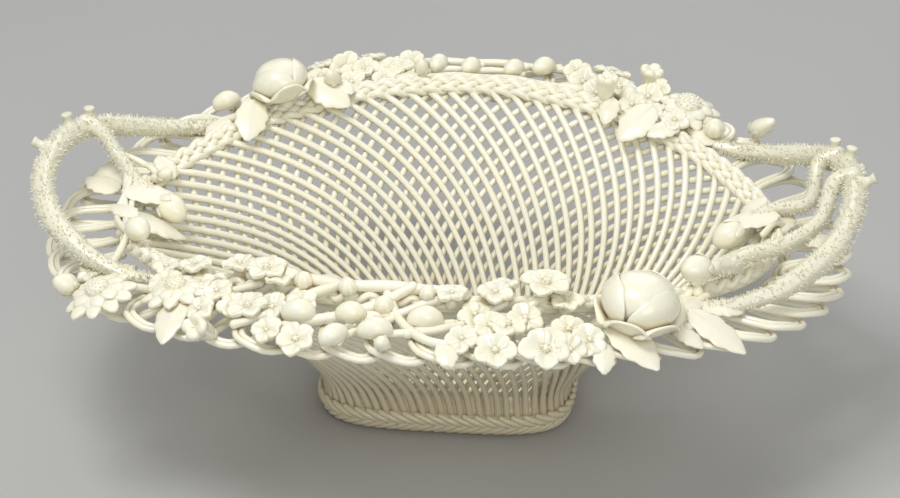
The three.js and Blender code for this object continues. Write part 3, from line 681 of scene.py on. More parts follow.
def border(name, node, family):
    """Each strand is two rods side by side."""
    shape = Shape()
    phase = np.arange(STRAND_WAVES * WAVE_STEPS) / WAVE_STEPS
    path = strand_point(family, 0, phase, STRAND_SWEEP_SHARE, STRAND_BULGE_SHARE)
    path = (path * 2 + np.roll(path, 1, 0) + np.roll(path, -1, 0)) / 4
    _, side, top = path_frame(path)
    for way in (-1, 1):
        radius = BORDER_ROD_RADIUS + BORDER_ROD_SWELL * np.sin(phase * TURN * 3.7 + way)
        beside_path = path + side * way * BORDER_ROD_OFFSET
        shape.add(*tube(beside_path, radius, 10, closed=True, above=top))
    piece(name, shape, "glazed_border", [node])


# Branches
def between(t, start, end, first, second):
    return (end - t) / (end - start) * first + (t - start) / (end - start) * second


def spline(points, count):
    """A centripetal curve through a few points, walked evenly."""
    points = np.asarray(points, float)
    padded = np.concatenate([[2 * points[0] - points[1]], points, [2 * points[-1] - points[-2]]])
    out = []
    for i in range(1, len(padded) - 2):
        p = padded[i - 1:i + 3]
        at = np.cumsum([0, *(np.linalg.norm(b - a) ** 0.5 for a, b in zip(p, p[1:]))])
        t = np.linspace(at[1], at[2], 25)[:, None]
        a1, a2, a3 = (between(t, at[k], at[k + 1], p[k], p[k + 1]) for k in range(3))
        b1, b2 = between(t, at[0], at[2], a1, a2), between(t, at[1], at[3], a2, a3)
        section = between(t, at[1], at[2], b1, b2)
        out.append(section if i == len(padded) - 3 else section[:-1])
    dense = np.concatenate(out)
    travelled = np.concatenate([[0], np.cumsum(np.linalg.norm(np.diff(dense, axis=0), axis=1))])
    wanted = np.linspace(0, travelled[-1], count)
    return np.stack([np.interp(wanted, travelled, dense[:, k]) for k in range(3)], -1)


THORN_HEIGHTS = (0.35, 1.35)
THORN_WIDTHS = (0.24, 0.42)
THORN_TIP_SHARE = 0.4
THORN_ROOT = 0.3
FURROW_COUNT = 5
FURROW_DEPTH = 0.13


def bark(shape, path, radii, thorns, sides):
    """A branch with faint furrows, set all round with short thorns."""
    points, faces = tube(path, radii, sides)
    rings = len(points) // sides
    grid = points.reshape(rings, sides, 3)
    away = unit(grid - grid.mean(1)[:, None, :])
    angle = np.arange(sides) / sides * TURN
    drift = 1.3 * np.sin(np.arange(rings) * 0.09)[:, None]
    furrow = FURROW_DEPTH * np.sin(FURROW_COUNT * angle[None, :] + drift)
    furrow = furrow + dice.normal(0, 0.05, (rings, sides))
    furrow[:CAP_RINGS] = furrow[-CAP_RINGS:] = 0
    shape.add((grid + away * furrow[..., None]).reshape(-1, 3), faces)
    ahead = along_path(path)
    above = carried_normals(ahead)
    side = np.cross(ahead, above)
    spots = dice.integers(1, len(path) - 1, thorns)
    turns = dice.uniform(0, TURN, thorns)
    tall = dice.uniform(*THORN_HEIGHTS, thorns)
    wide = dice.uniform(*THORN_WIDTHS, thorns)
    leans = dice.normal(0, 0.3, (thorns, 2))
    for spot, turn, height, width, lean in zip(spots, turns, tall, wide, leans):
        out = side[spot] * math.cos(turn) + above[spot] * math.sin(turn)
        over = np.cross(out, ahead[spot])
        root = path[spot] + out * (radii[spot] - THORN_ROOT)
        ring = [root + ahead[spot] * width * a + over * width * b
                for a, b in ((1, 0), (0, 1), (-1, 0), (0, -1))]
        tip = root + out * (THORN_ROOT + height) + ahead[spot] * lean[0] + over * lean[1]
        cut = [tip + (corner - root) * THORN_TIP_SHARE for corner in ring]
        shape.add(ring + cut, ring_faces(2, 4, False), False)


def over_border(radius):
    return BORDER_TOP + FIT + radius


def side_share(side, share):
    return share if side > 0 else 0.5 - share


# Half of a handle, from its end to its middle: how far along, its depth on the border,
# its share of the rise and of the thickness
HANDLE_END = (HANDLE_END_COUNT + 0.5) / (2 * STRAND_WAVES)
HALF_HANDLE = ((1, 0.5, 0, HANDLE_END_SHARE), (0.8, 0.72, 0.16, 1), (0.5, 0.98, 0.66, 1),
               (0.2, HANDLE_REACH_SHARE, 0.97, 1))
WHOLE_HANDLE = (*HALF_HANDLE, *((-along, *rest) for along, *rest in reversed(HALF_HANDLE)))
HANDLE_STEPS = 400
HANDLE_THORNS = 2400
BARK_ALLOWANCE = 0.35
BARK_TAPER_SHARE = HANDLE_TAPER_SHARE + 0.06
# Where the bark's branch starts, beyond the solid's
HANDLE_ROOT = 1.13 * HANDLE_END
HANDLE_ROOT_DEPTH = 0.33
HANDLE_ROOT_RADIUS = 2.0
# A stub's shares of its reach and of its radius, from the root to the cut end
STUB_OUTLINE = ((0.2, 0.34, 0.46, 0.56, 0.68, 0.8, 0.92, 0.985, 1.0),
                (1.7, 1.55, 1.2, 0.92, 0.75, 0.76, 0.92, 0.94, 0.74))


def handle_line(side):
    points = [rim_point(side_share(side, along * HANDLE_END), depth,
                        over_border(HANDLE_RADIUS * thick) + rise * HANDLE_RISE)
              for along, depth, rise, thick in WHOLE_HANDLE]
    return spline(points, HANDLE_STEPS + 1)


def handle_point(side, at):
    return handle_line(side)[round(at * HANDLE_STEPS)]


def handle(name, node, side):
    """The branch, its ends drawn out until they merge with the border by the rope."""
    shape = Shape()
    at = np.linspace(0, 1, 220)
    first, last = (rim_point(side_share(side, share), HANDLE_ROOT_DEPTH,
                             over_border(HANDLE_ROOT_RADIUS))
                   for share in (HANDLE_ROOT, -HANDLE_ROOT))
    path = spline([first, *handle_line(side)[::8], last], len(at))
    full = np.minimum(1, np.minimum(at, 1 - at) / BARK_TAPER_SHARE)
    radius = (HANDLE_RADIUS - BARK_ALLOWANCE) * (0.5 + 0.5 * full)
    radius = radius * (1 + 0.05 * np.sin(at * 19) + 0.025 * np.sin(at * 47))
    bark(shape, path, radius, HANDLE_THORNS, 26)
    along, thick = map(np.array, STUB_OUTLINE)
    for share, lean in zip(STUB_SHARES, STUB_ANGLES):
        angle = math.radians(lean)
        away = np.array([side * math.sin(angle), 0, math.cos(angle)])
        reach = HANDLE_RADIUS + STUB_LENGTH - 0.1
        stem = handle_point(side, share) + away * (along * reach)[:, None]
        shape.add(*tube(stem, STUB_RADIUS * thick, 14, blunt=False))
    piece(name, shape, "glazed_branch", [node])


def beside(side, at, own_share):
    point = handle_point(side, at)
    inward = unit(np.array([-point[0], -point[1], 0]))
    return point + inward * (HANDLE_RADIUS + FIT + TWIG_RADIUS * own_share)


def crest_share(share, lean=0):
    """The nearest share at which a strand of the solid's rope crests."""
    lobe_lean = lean / 90
    return (round(share * ROPE_LOBES + lobe_lean) - lobe_lean) / ROPE_LOBES


def over_handle_foot(share, depth, rise_share):
    return rim_point(share, depth, over_border(TWIG_RADIUS) + HANDLE_RISE * rise_share)


def rope_top(share, rise=0, inwards=0):
    at = inset(rim_oval, inwards)(share)
    return np.array([*at, rim_height(share) + ROPE_RADIUS + FIT + TWIG_RADIUS + rise])


LEFT_TWIG = (
    beside(-1, 0.3, 0.6),
    over_handle_foot(side_share(-1, 0.035), 0.5, 0.45),
    rope_top(crest_share(side_share(-1, 0.016))),
    rope_top(side_share(-1, 0.01), -TWIG_RADIUS, TWIG_REACH),
)
RIGHT_TWIG = (
    beside(1, 0.3, 0.75),
    over_handle_foot(0.02, 0.5, 0.4),
    rope_top(crest_share(0.012)),
    rope_top(0.01, -TWIG_RADIUS, TWIG_REACH),
)
RIGHT_SIDE_BRANCH = (
    beside(1, 0.45, 0.7),
    over_handle_foot(-0.012, 0.62, 0.72),
    over_handle_foot(-0.03, 0.32, 0.5),
    rope_top(-0.052, TWIG_RADIUS / 2),
    rope_top(crest_share(-0.067)),
    rope_top(-0.08, TWIG_RADIUS / 2),
)


TWIG_ROOT_LIFT = 3.2


def twig(name, node, side, at, line, end_share, thorns):
    """A branch that grows out of the top of its handle."""
    shape = Shape()
    count = 100
    grown_from = handle_point(side, at) + UP * TWIG_ROOT_LIFT
    radius = np.linspace(TWIG_RADIUS * 1.08, TWIG_RADIUS * end_share, count)
    swell = 1 + 0.05 * np.sin(np.linspace(0, 15, count))
    bark(shape, spline((grown_from, *line), count), radius * swell - 0.1, thorns, 18)
    piece(name, shape, "glazed_branch", [node])


# Seats of the flowers
def seat_matrix(position, ahead, above, spin):
    across = unit(np.cross(above, ahead))
    ahead = unit(np.cross(across, above))
    angle = math.radians(spin)
    turned_x = ahead * math.cos(angle) + across * math.sin(angle)
    matrix = np.eye(4)
    matrix[:3, 0], matrix[:3, 1] = turned_x, np.cross(above, turned_x)
    matrix[:3, 2], matrix[:3, 3] = above, position
    return matrix


def leaned(share, lean):
    """The way ahead on the rope, and its upright leaned outwards by degrees."""
    ahead = unit(rim_point(share + NUDGE, 0, 0) - rim_point(share - NUDGE, 0, 0))
    outward = unit(np.cross(ahead, UP))
    top = unit(np.cross(outward, ahead))
    angle = math.radians(lean)
    return ahead, top * math.cos(angle) + outward * math.sin(angle)


def rope_seat(near_share, lean=0):
    share = crest_share(near_share, lean)
    ahead, above = leaned(share, lean)
    return rim_point(share, 0, 0) + above * (ROPE_RADIUS + FIT), ahead, above


def strand_seat(share, phase_share, lean):
    first = strand_share(0, 0, phase_share)
    number = round(2 * STRAND_WAVES * (share - first))
    family = number % 2
    wave = (number - family) // 2
    crest = crest_share(share)
    ahead, above = leaned(crest, 0)
    position = strand_point(family, wave, phase_share)
    position = position + above * (STRAND_THICKNESS / 2 + APPLIED_FIT)
    position = position + above * (STALK_RADIUS * math.sin(math.radians(lean)) / 2)
    return position, ahead, leaned(crest, lean)[1]


def crossing_seat(share, lean=0):
    return strand_seat(share, 0.25, lean)


def tip_seat(share, lean=0):
    return strand_seat(share, 0.5, lean)


def line_end(line):
    path = spline(line, 60)
    above = unit(path[-1] - path[-2])
    return path[-1] + above * FIT, unit(np.cross(above, UP)), above


# The height, over the rim's line, of what carries the garland, at these depths
CARRIER = ((-0.3, -0.1, 0, 0.1, 0.24, 1.1), (1.0, 3.6, 4.3, 3.6, -1.8, -2.5))


def garland_height(depth):
    return np.interp(depth, *CARRIER)


def loose_seat(share, depth, lean, lift):
    ahead, above = leaned(share, lean)
    return rim_point(share, depth, garland_height(depth) + lift), ahead, above


# Flowers. Each stands on its seat, which is the origin, and looks up along z. Its stalk
# starts a little below, in what carries it.
STALK_ROOT = 1.2
FLOWER_PETALS = 5
DAISY_PETALS = 10
DAISY_HEART_BEADS = 40
GOLDEN_ANGLE = 2.39996
KNOB_RADIUS = 4.6


def stalk(shape, radius, height, flare=0.6, steps=8, bent=None):
    z = np.linspace(-STALK_ROOT, height, steps)
    path = np.stack([0 * z, 0 * z, z], -1)
    path = bent(path) if bent else path
    shape.add(*tube(path, radius * (1 + flare * np.exp(-np.maximum(z, 0))), 8))


def turned(points, degrees):
    angle = math.radians(degrees)
    c, s = math.cos(angle), math.sin(angle)
    return points @ np.array([[c, s, 0], [-s, c, 0], [0, 0, 1]])


def add_petal(shape, petal, lift, spin):
    points, faces = petal
    shape.add(turned(points + UP * lift, spin), faces)


def spoon_petal(length, width, inner, rise, cup, droop, thickness, waist, crease_share=0.3):
    """A thick rounded petal that runs out along x from near the middle."""

    def surface(u, v):
        grow = waist + (1 - waist) * np.sin(math.pi / 2 * np.clip(v / 0.6, 0, 1))
        tip = np.sqrt(np.clip(1 - np.clip((v - 0.6) / 0.4, 0, 1) ** 2.6, 0, 1))
        half = width / 2 * grow * (0.3 + 0.7 * tip)
        x = inner + (length - inner) * v * (1 - 0.06 * u ** 2)
        bowl = np.sin(math.pi * np.clip(v, 0, 1)) ** 0.7
        crease = crease_share * thickness * np.exp(-(u / 0.35) ** 2) * bowl
        z = rise * v - droop * v ** 2.4 + cup * u ** 2 * bowl - crease
        return np.stack([x, half * u, z], -1)

    return sheet(surface, 7, 6, thickness, 0.75)


def small_flower(scale):
    shape = Shape()
    radius, height = FLOWER_RADIUS * scale, FLOWER_HEIGHT * scale
    stalk(shape, STALK_RADIUS, height * 0.45)
    first = dice.uniform(0, 72)
    for k in range(FLOWER_PETALS):
        grow = dice.uniform(0.93, 1.1)
        petal = spoon_petal(
            length=radius * 1.06 * grow, width=radius * 1.02 * grow, inner=0.3,
            rise=height * 0.4 + dice.normal(0, 0.45), cup=radius * 0.2, droop=height * 0.2,
            thickness=2.3, waist=0.45)
        spin = first + k * 360 / FLOWER_PETALS + dice.normal(0, 5)
        add_petal(shape, petal, height * 0.42, spin)
    shape.add(*ball((0, 0, height * 0.62), radius * 0.22, radius * 0.24))
    for k in range(5):
        spot = polar(radius * 0.17, TURN * k / 5, height * 0.84)
        shape.add(*ball(spot, radius * 0.075, sides=6, rings=4))
    return shape


def daisy(scale, dome_share):
    """Two layers of petals round a dome that is set with beads."""
    shape = Shape()
    radius, height = DAISY_RADIUS * scale, DAISY_HEIGHT * scale
    stalk(shape, STALK_RADIUS * 1.2, height * 0.45)
    for layer, (reach, low) in enumerate(((1.03, 0.34), (0.74, 0.48))):
        for k in range(DAISY_PETALS):
            petal = spoon_petal(
                length=radius * reach * dice.uniform(0.96, 1.04), width=radius * 0.46,
                inner=radius * 0.1, rise=height * 0.28 + dice.normal(0, 0.35),
                cup=radius * 0.02, droop=height * 0.3, thickness=2.6, waist=0.6,
                crease_share=-0.15)
            spin = (k + 0.5 * layer) * 360 / DAISY_PETALS + dice.normal(0, 2.5)
            add_petal(shape, petal, height * low, spin)
    dome = radius * dome_share
    outline = ((0, 0.5), (0.9, 0.58), (1, 0.7), (0.86, 0.84), (0.5, 0.94), (0, 0.97))
    shape.add(*spun([(dome * r, height * z) for r, z in outline], 18))
    for k in range(DAISY_HEART_BEADS):
        out = dome * 0.94 * math.sqrt((k + 0.5) / DAISY_HEART_BEADS)
        spot = polar(out, k * GOLDEN_ANGLE, height * (0.965 - 0.2 * (out / dome) ** 2.4))
        shape.add(*ball(spot, dome * 0.12, dome * 0.08, sides=6, rings=4))
    return shape


def cupped_petal(radius, height, low, span, close, lip, thickness, skew, fall):
    """A broad petal that wraps part of a ball. close is how far it bends in at the top,
    fall how much lower its corners are."""

    def surface(u, v):
        round_tip = 1 - 0.35 * np.maximum(v - 0.5, 0) ** 2 / 0.25
        half = span / 2 * round_tip * (0.5 + 0.5 * np.minimum(v * 3.2, 1))
        bulge = np.sin(math.pi * np.clip(0.12 + close * v, 0, 1)) ** 0.6
        r = radius * bulge + lip * v ** 6 + 0.03 * radius * u ** 2
        top = height * (1 - fall * np.abs(u) ** 3)
        return polar(r, half * u + skew * v, low + (top - low) * v)

    return sheet(surface, 9, 10, thickness, 0.6)


# The rose's petals from the inside out: how many, and of each the shares of the
# radius, top and foot, the span, how far it closes, its lip, the first one's turn, the
# thickness and how far its corners fall
ROSE_WRAPS = (
    (3, 0.84, 0.86, 0.14, 2.2, 0.72, 0.0, 40, 1.4, 0.1),
    (5, 0.92, 0.46, 0.1, 1.5, 0.36, 0.1, 5, 1.9, 0.5),
)


def rose(scale):
    shape = Shape()
    radius, height = ROSE_RADIUS * scale, ROSE_HEIGHT * scale
    stalk(shape, STALK_RADIUS * 1.3, height * 0.2)
    core = [(0, height * 0.1)]
    for a in np.linspace(0, math.pi, 13)[1:-1]:
        core.append((radius * 0.8 * math.sin(a) ** 0.9, height * (0.54 - 0.43 * math.cos(a))))
    core.append((0, height * 0.965))

    def folds(angle, r, z):
        """Petals wrapped one over the next, each edge a low step that climbs aslant."""
        part = np.mod(angle / TURN * 3 + z / height * 0.9, 1)
        return r * (1 + 0.055 * part ** 1.5 - 0.03), z

    shape.add(*spun(core, 40, folds))
    for count, reach, top, low, span, close, lip, first, thick, fall in ROSE_WRAPS:
        for k in range(count):
            petal = cupped_petal(
                radius=radius * reach, height=height * (top + dice.normal(0, 0.03)),
                low=height * low, span=span, close=close, lip=radius * lip, thickness=thick,
                skew=dice.normal(0.12, 0.05), fall=fall)
            add_petal(shape, petal, 0, first + k * 360 / count + dice.normal(0, 4))
    return shape


# The bell's outside from the stalk to the mouth, and its inside down again
BELL_OUTLINE = (
    (0, 0.0), (0.5, 0.05), (0.62, 0.2), (0.68, 0.42), (0.74, 0.62), (0.88, 0.76), (0.98, 0.86),
    (0.94, 0.95), (0.74, 1.0), (0.5, 0.98), (0.32, 0.92), (0.16, 0.88), (0, 0.87),
)


def bell(scale):
    shape = Shape()
    radius, height = BELL_RADIUS * scale, BELL_HEIGHT * scale
    stalk(shape, STALK_RADIUS, height * 0.15)

    def wobble(angle, r, z):
        """Four round lobes that part towards the mouth."""
        valley = 1 - np.abs(np.cos(2 * angle)) ** 0.6
        flare = np.clip((z / height - 0.5) / 0.4, 0, 1)
        return r * (1 - 0.26 * flare * valley), z - height * 0.08 * flare * valley

    shape.add(*spun([(r * radius, z * height) for r, z in BELL_OUTLINE], 32, wobble))
    return shape


def ribbed_knob(scale):
    """A small round bud with ribs."""
    shape = Shape()
    radius = KNOB_RADIUS * scale
    stalk(shape, STALK_RADIUS, radius * 0.6)
    angles = np.linspace(0, math.pi, 9)
    profile = [(radius * math.sin(a), radius * (1.2 - 0.95 * math.cos(a))) for a in angles]
    profile[0], profile[-1] = (0, radius * 0.25), (0, radius * 2.15)

    def ribs(angle, r, z):
        return r * (1 - 0.17 * (1 - np.abs(np.cos(3.5 * angle)))), z

    shape.add(*spun(profile, 28, ribs))
    return shape


def sepal(radius, length):
    def surface(u, v):
        angle = (0.62 * (1 - v) ** 0.8 + 0.05) * u
        r = 0.2 * (1 - v) + radius * (0.4 + 0.57 * np.sin(math.pi * (0.05 + 0.46 * v)))
        return polar(r, angle, length * (0.2 + 0.36 * v))

    return sheet(surface, 5, 4, 1.2, 0.15)


BUD_OUTLINE = ((0, 0.14), (0.42, 0.18), (0.84, 0.32), (0.98, 0.5), (0.92, 0.68), (0.66, 0.85),
               (0.32, 0.96), (0, 1))


def bud(scale, bend_share=0.0):
    """A smooth egg of wrapped petals on a short stem, in a cup of sepals."""
    shape = Shape()
    radius, length = BUD_RADIUS * scale, BUD_LENGTH * scale

    def bent(points):
        points[:, 0] += bend_share * length * (points[:, 2] / length) ** 2
        return points

    def grooves(angle, r, z):
        return r * (1 - 0.08 * np.cos(1.5 * angle + z * 0.25) ** 8), z

    points, faces = spun([(r * radius, z * length) for r, z in BUD_OUTLINE], 20, grooves)
    shape.add(bent(points), faces)
    stalk(shape, STALK_RADIUS, length * 0.3, 0.4, 7, bent)
    for k in range(4):
        points, faces = sepal(radius, length)
        shape.add(bent(turned(points, k * 90 + 20)), faces)
    return shape


# Half the width of a leaf from its stem to its point
LEAF_OUTLINE = ((0, 0.1, 0.25, 0.45, 0.65, 0.82, 0.93, 1),
                (0.3, 0.66, 0.92, 1, 0.9, 0.6, 0.28, 0.05))
LEAF_LOBES = 4


def leaf(scale, back_share=0.1, front_share=0.9):
    """A scalloped leaf with a raised rib and faint side veins, its length behind and
    before its seat given as shares."""
    shape = Shape()
    length, width = LEAF_LENGTH * scale, LEAF_WIDTH * scale * 1.15
    whole = front_share + back_share

    def surface(u, v):
        out = np.abs(u)
        scallop = 1 - 0.17 * (1 - np.abs(np.sin(math.pi * LEAF_LOBES * v))) * out ** 2
        y = width / 2 * np.interp(v, *LEAF_OUTLINE) * scallop * u
        vein = 0.28 * np.cos(TURN * (v * LEAF_LOBES * 1.5 - out * 0.9)) * out * (1 - out)
        z = 0.8 + 0.5 * (1 - out) + vein + 0.9 * np.sin(math.pi * v) * (1 - 0.4 * u ** 2)
        return np.stack([length * (whole * v - back_share), y, z], -1)

    shape.add(*sheet(surface, 20, 10, LEAF_THICKNESS, 0.55))
    t = np.linspace(0, 1, 10)
    rib = np.stack([length * (whole * t - back_share), 0 * t, 1.5 + 0.9 * np.sin(math.pi * t)], -1)
    shape.add(*tube(rib, 0.8 * (1 - 0.7 * t), 6))
    return shape


# Node, form, its sizes, seat and spin
APPLIED = (
    ("back_rose", rose, (0.9,), rope_seat(0.361, ROSE_ANGLE), 0),
    ("back_rose_leaf_a", leaf, (0.8, 0.45, 0.55), rope_seat(0.382, LEAF_ANGLE), 52),
    ("back_rose_leaf_b", leaf, (0.8, 0.45, 0.55), rope_seat(0.342, LEAF_ANGLE), 128),
    ("back_bud_a", bud, (0.75, 0.3), rope_seat(0.328), 60),
    ("back_flower_a", small_flower, (0.85,), crossing_seat(0.332), 10),
    ("back_flower_b", small_flower, (0.85,), tip_seat(0.325, OPEN_ANGLE), 40),
    ("back_flower_c", small_flower, (0.85,), crossing_seat(0.312), 5),
    ("back_flower_f", small_flower, (0.9,), tip_seat(0.305, OPEN_ANGLE), 25),
    ("back_flower_g", small_flower, (0.9,), crossing_seat(0.292), 50),
    ("back_flower_d", small_flower, (0.9,), tip_seat(0.185, OPEN_ANGLE), 25),
    ("back_flower_e", small_flower, (0.85,), crossing_seat(0.172), 0),
    ("back_bell_a", bell, (1,), tip_seat(0.165), 0),
    ("back_bell_b", bell, (0.9,), rope_seat(0.166), 30),
    ("back_daisy", daisy, (0.95, 0.42), crossing_seat(0.132), 0),
    ("back_daisy_leaf", leaf, (0.85, 0.3, 0.65), rope_seat(0.14, LEAF_ANGLE), 80),
    ("front_round_bud", bud, (0.95, 0), tip_seat(0.585, BELL_ANGLE), 0),
    ("front_daisy_a", daisy, (0.93, 0.36), tip_seat(0.605, ROSE_ANGLE), 18),
    ("front_daisy_b", daisy, (0.85, 0.34), crossing_seat(0.632), 10),
    ("front_daisy_leaf", leaf, (0.75, 0.7, 0.5), tip_seat(0.645, OPEN_ANGLE), -75),
    ("front_bell", bell, (1,), tip_seat(0.665, BELL_ANGLE), 0),
    ("front_flower_a", small_flower, (0.85,), crossing_seat(0.672), 10),
    ("front_flower_g", small_flower, (0.9,), rope_seat(0.66), 30),
    ("front_flower_b", small_flower, (0.8,), tip_seat(0.705, OPEN_ANGLE), 0),
    ("front_flower_c", small_flower, (0.84,), tip_seat(0.785, OPEN_ANGLE), 24),
    ("front_flower_d", small_flower, (1,), rope_seat(0.812), 20),
    ("front_flower_e", small_flower, (0.85,), crossing_seat(0.792), 20),
    ("front_flower_f", small_flower, (1,), tip_seat(0.805, OPEN_ANGLE), 40),
    ("front_rose", rose, (1.1,), crossing_seat(0.852), 0),
    ("front_rose_leaf_a", leaf, (0.9, 0.75, 0.42), tip_seat(0.845, OPEN_ANGLE), -65),
    ("front_rose_leaf_b", leaf, (0.8, 0.85, 0.4), tip_seat(0.885, OPEN_ANGLE), -60),
    ("left_rosebud", bud, (1.2, 0), line_end(LEFT_TWIG), 0),
    ("left_leaf_a", leaf, (0.9,), crossing_seat(0.472), 200),
    ("left_leaf_b", leaf, (1,), rope_seat(0.515, LEAF_ANGLE), 90),
    ("right_rosebud", bud, (1.2, 0), line_end(RIGHT_TWIG), 0),
    ("right_leaf", leaf, (1,), rope_seat(0.98, LEAF_ANGLE), 90),
    ("right_front_bud", bud, (1.2, 0), line_end(RIGHT_SIDE_BRANCH), 0),
    ("right_back_rosebud", bud, (1, -0.5), tip_seat(0.105), 0),
)


def slot_of(make):
    return "glazed_leaves" if make is leaf else "glazed_petals"


def applied():
    for node, make, sizes, seat, spin in APPLIED:
        shape = Shape().merge(make(*sizes), seat_matrix(*seat, spin))
        piece(node + "_formed", shape, slot_of(make), [node], levels=1)


# Buds that lie on the border or on the rope, from the end of the stem to the tip
LYING_SHARES = ((0, 0.3, 0.42, 0.62, 0.84, 1), (0.36, 0.36, 0.78, 1, 0.84, 0.4))
EGG_SHARES = ((0, 0.28, 0.34, 0.42, 0.52, 0.64, 0.78, 0.9, 0.97, 1),
              (0.34, 0.34, 0.52, 0.8, 0.95, 1, 0.9, 0.66, 0.36, 0.1))
# Node, share and depth of the stem's end and of the tip, and scale. One with its tip at
# no depth lies on the rope.
LYING = (
    ("back_tapered_bud", (0.372, 0.6), (0.39, 0.72), 0.9),
    ("back_bud_b", (0.265, 0.92), (0.273, 0.5), 0.8),
    ("back_bud_c", (0.247, 0.78), (0.256, 0.42), 0.8),
    ("back_bud_d", (0.224, 0.82), (0.233, 0.45), 0.8),
    ("back_bud_e", (0.209, 0.98), (0.219, 0.6), 0.85),
    ("front_bud_a", (0.71, 0.5), (0.69, 0.6), 1),
    ("front_bud_b", (0.732, 0.4), (0.714, 0.48), 0.9),
    ("front_bud_c", (0.748, 0.7), (0.728, 0.84), 0.9),
    ("front_bud_d", (0.77, 0.42), (0.748, 0.52), 0.95),
    ("front_bud_e", (0.726, 0.72), (0.716, 1.14), 0.85),
    ("left_bud", (0.543, 0), (0.566, 0), 1.05),
)


def lying_buds():
    t = np.linspace(0, 1, 22)
    for node, stem_end, tip, scale in LYING:
        radius = BUD_RADIUS * scale
        carrier_top = BORDER_TOP if tip[1] else ROPE_RADIUS
        lift = carrier_top + APPLIED_FIT + radius * np.interp(t, *LYING_SHARES)
        share, depth = (start + (end - start) * t for start, end in zip(stem_end, tip))
        path = rim_point(share, depth, lift)
        shape = Shape()
        shape.add(*tube(path, radius * 0.98 * np.interp(t, *EGG_SHARES), 14, blunt=False))
        piece(node + "_formed", shape, "glazed_petals", [node], levels=1)


# Trim of the garland, in whole numbers of fine units. A stem's radius, in tenths of a
# millimetre, comes before its points: share, depth and lift over what carries it.
STEM_UNITS = (1000, 100, 10)
STEMS = {
    "front_stems": (
        (23, (655, 0, 12), (672, 4, 16), (690, -2, 20), (710, 3, 20), (735, -2, 21), (757, 2, 20),
         (775, 5, 14)),
        (20, (668, 42, 14), (685, 25, 27), (700, 12, 16), (713, 2, 34)),
        (21, (700, 62, 14), (716, 42, 22), (732, 20, 28), (748, 2, 34)),
        (19, (722, 36, 14), (742, 30, 22), (760, 14, 22), (775, 5, 26)),
        (19, (748, 70, 14), (765, 55, 16), (778, 40, 18), (788, 20, 22)),
        (18, (735, 8, 10), (741, 30, 24), (747, 55, 18), (757, 82, 14), (770, 95, 12)),
        (18, (690, 6, 10), (684, 30, 26), (681, 55, 16), (672, 85, 12)),
        (16, (770, 42, 12), (782, 30, 22), (795, 15, 20)),
        (15, (726, 72, 12), (735, 50, 14), (745, 25, 22)),
        (15, (690, 75, 9), (700, 62, 13), (712, 50, 14)),
        (16, (600, 60, 12), (622, 45, 14), (645, 30, 22), (665, 12, 16)),
        (16, (862, 30, 18), (885, 32, 18), (905, 20, 22)),
    ),
    "back_stems": (
        (17, (300, 75, 12), (285, 85, 14), (270, 90, 14), (255, 86, 13), (240, 90, 13),
         (222, 86, 13), (205, 90, 13), (190, 80, 12)),
        (17, (295, 35, 12), (278, 30, 16), (262, 36, 14), (247, 30, 16), (230, 36, 14),
         (213, 30, 16), (197, 36, 12), (182, 50, 12)),
        (15, (273, 60, 12), (262, 62, 13), (250, 58, 13), (238, 62, 13), (225, 58, 12)),
        (16, (408, 42, 20), (398, 30, 22), (386, 14, 22), (372, 10, 18)),
        (14, (410, 50, 22), (398, 40, 22), (384, 34, 20), (368, 40, 16)),
        (16, (92, 50, 20), (104, 40, 20), (118, 30, 18)),
    ),
    "left_stems": (
        (13, (466, 56, 132), (462, 36, 104), (462, 15, 46), (466, 0, 26), (468, -12, 19)),
        (14, (466, 48, 116), (467, 30, 90), (474, 12, 36), (482, 3, 28)),
        (15, (477, 20, 86), (488, 10, 44), (506, 2, 22), (520, -2, 20), (535, 2, 16)),
        (14, (480, 10, 50), (500, 4, 34), (514, 8, 24), (530, 10, 24), (545, 4, 16)),
        (13, (484, 0, 36), (496, -6, 26), (508, -8, 20), (522, -8, 18)),
        (15, (530, 0, 14), (545, 4, 16), (560, 30, 20), (575, 60, 12)),
    ),
    "right_stems": (
        (13, (12, 20, 20), (4, 0, 24), (995, -15, 18)),
        (13, (12, 20, 16), (20, 0, 22), (28, -12, 16)),
    ),
}
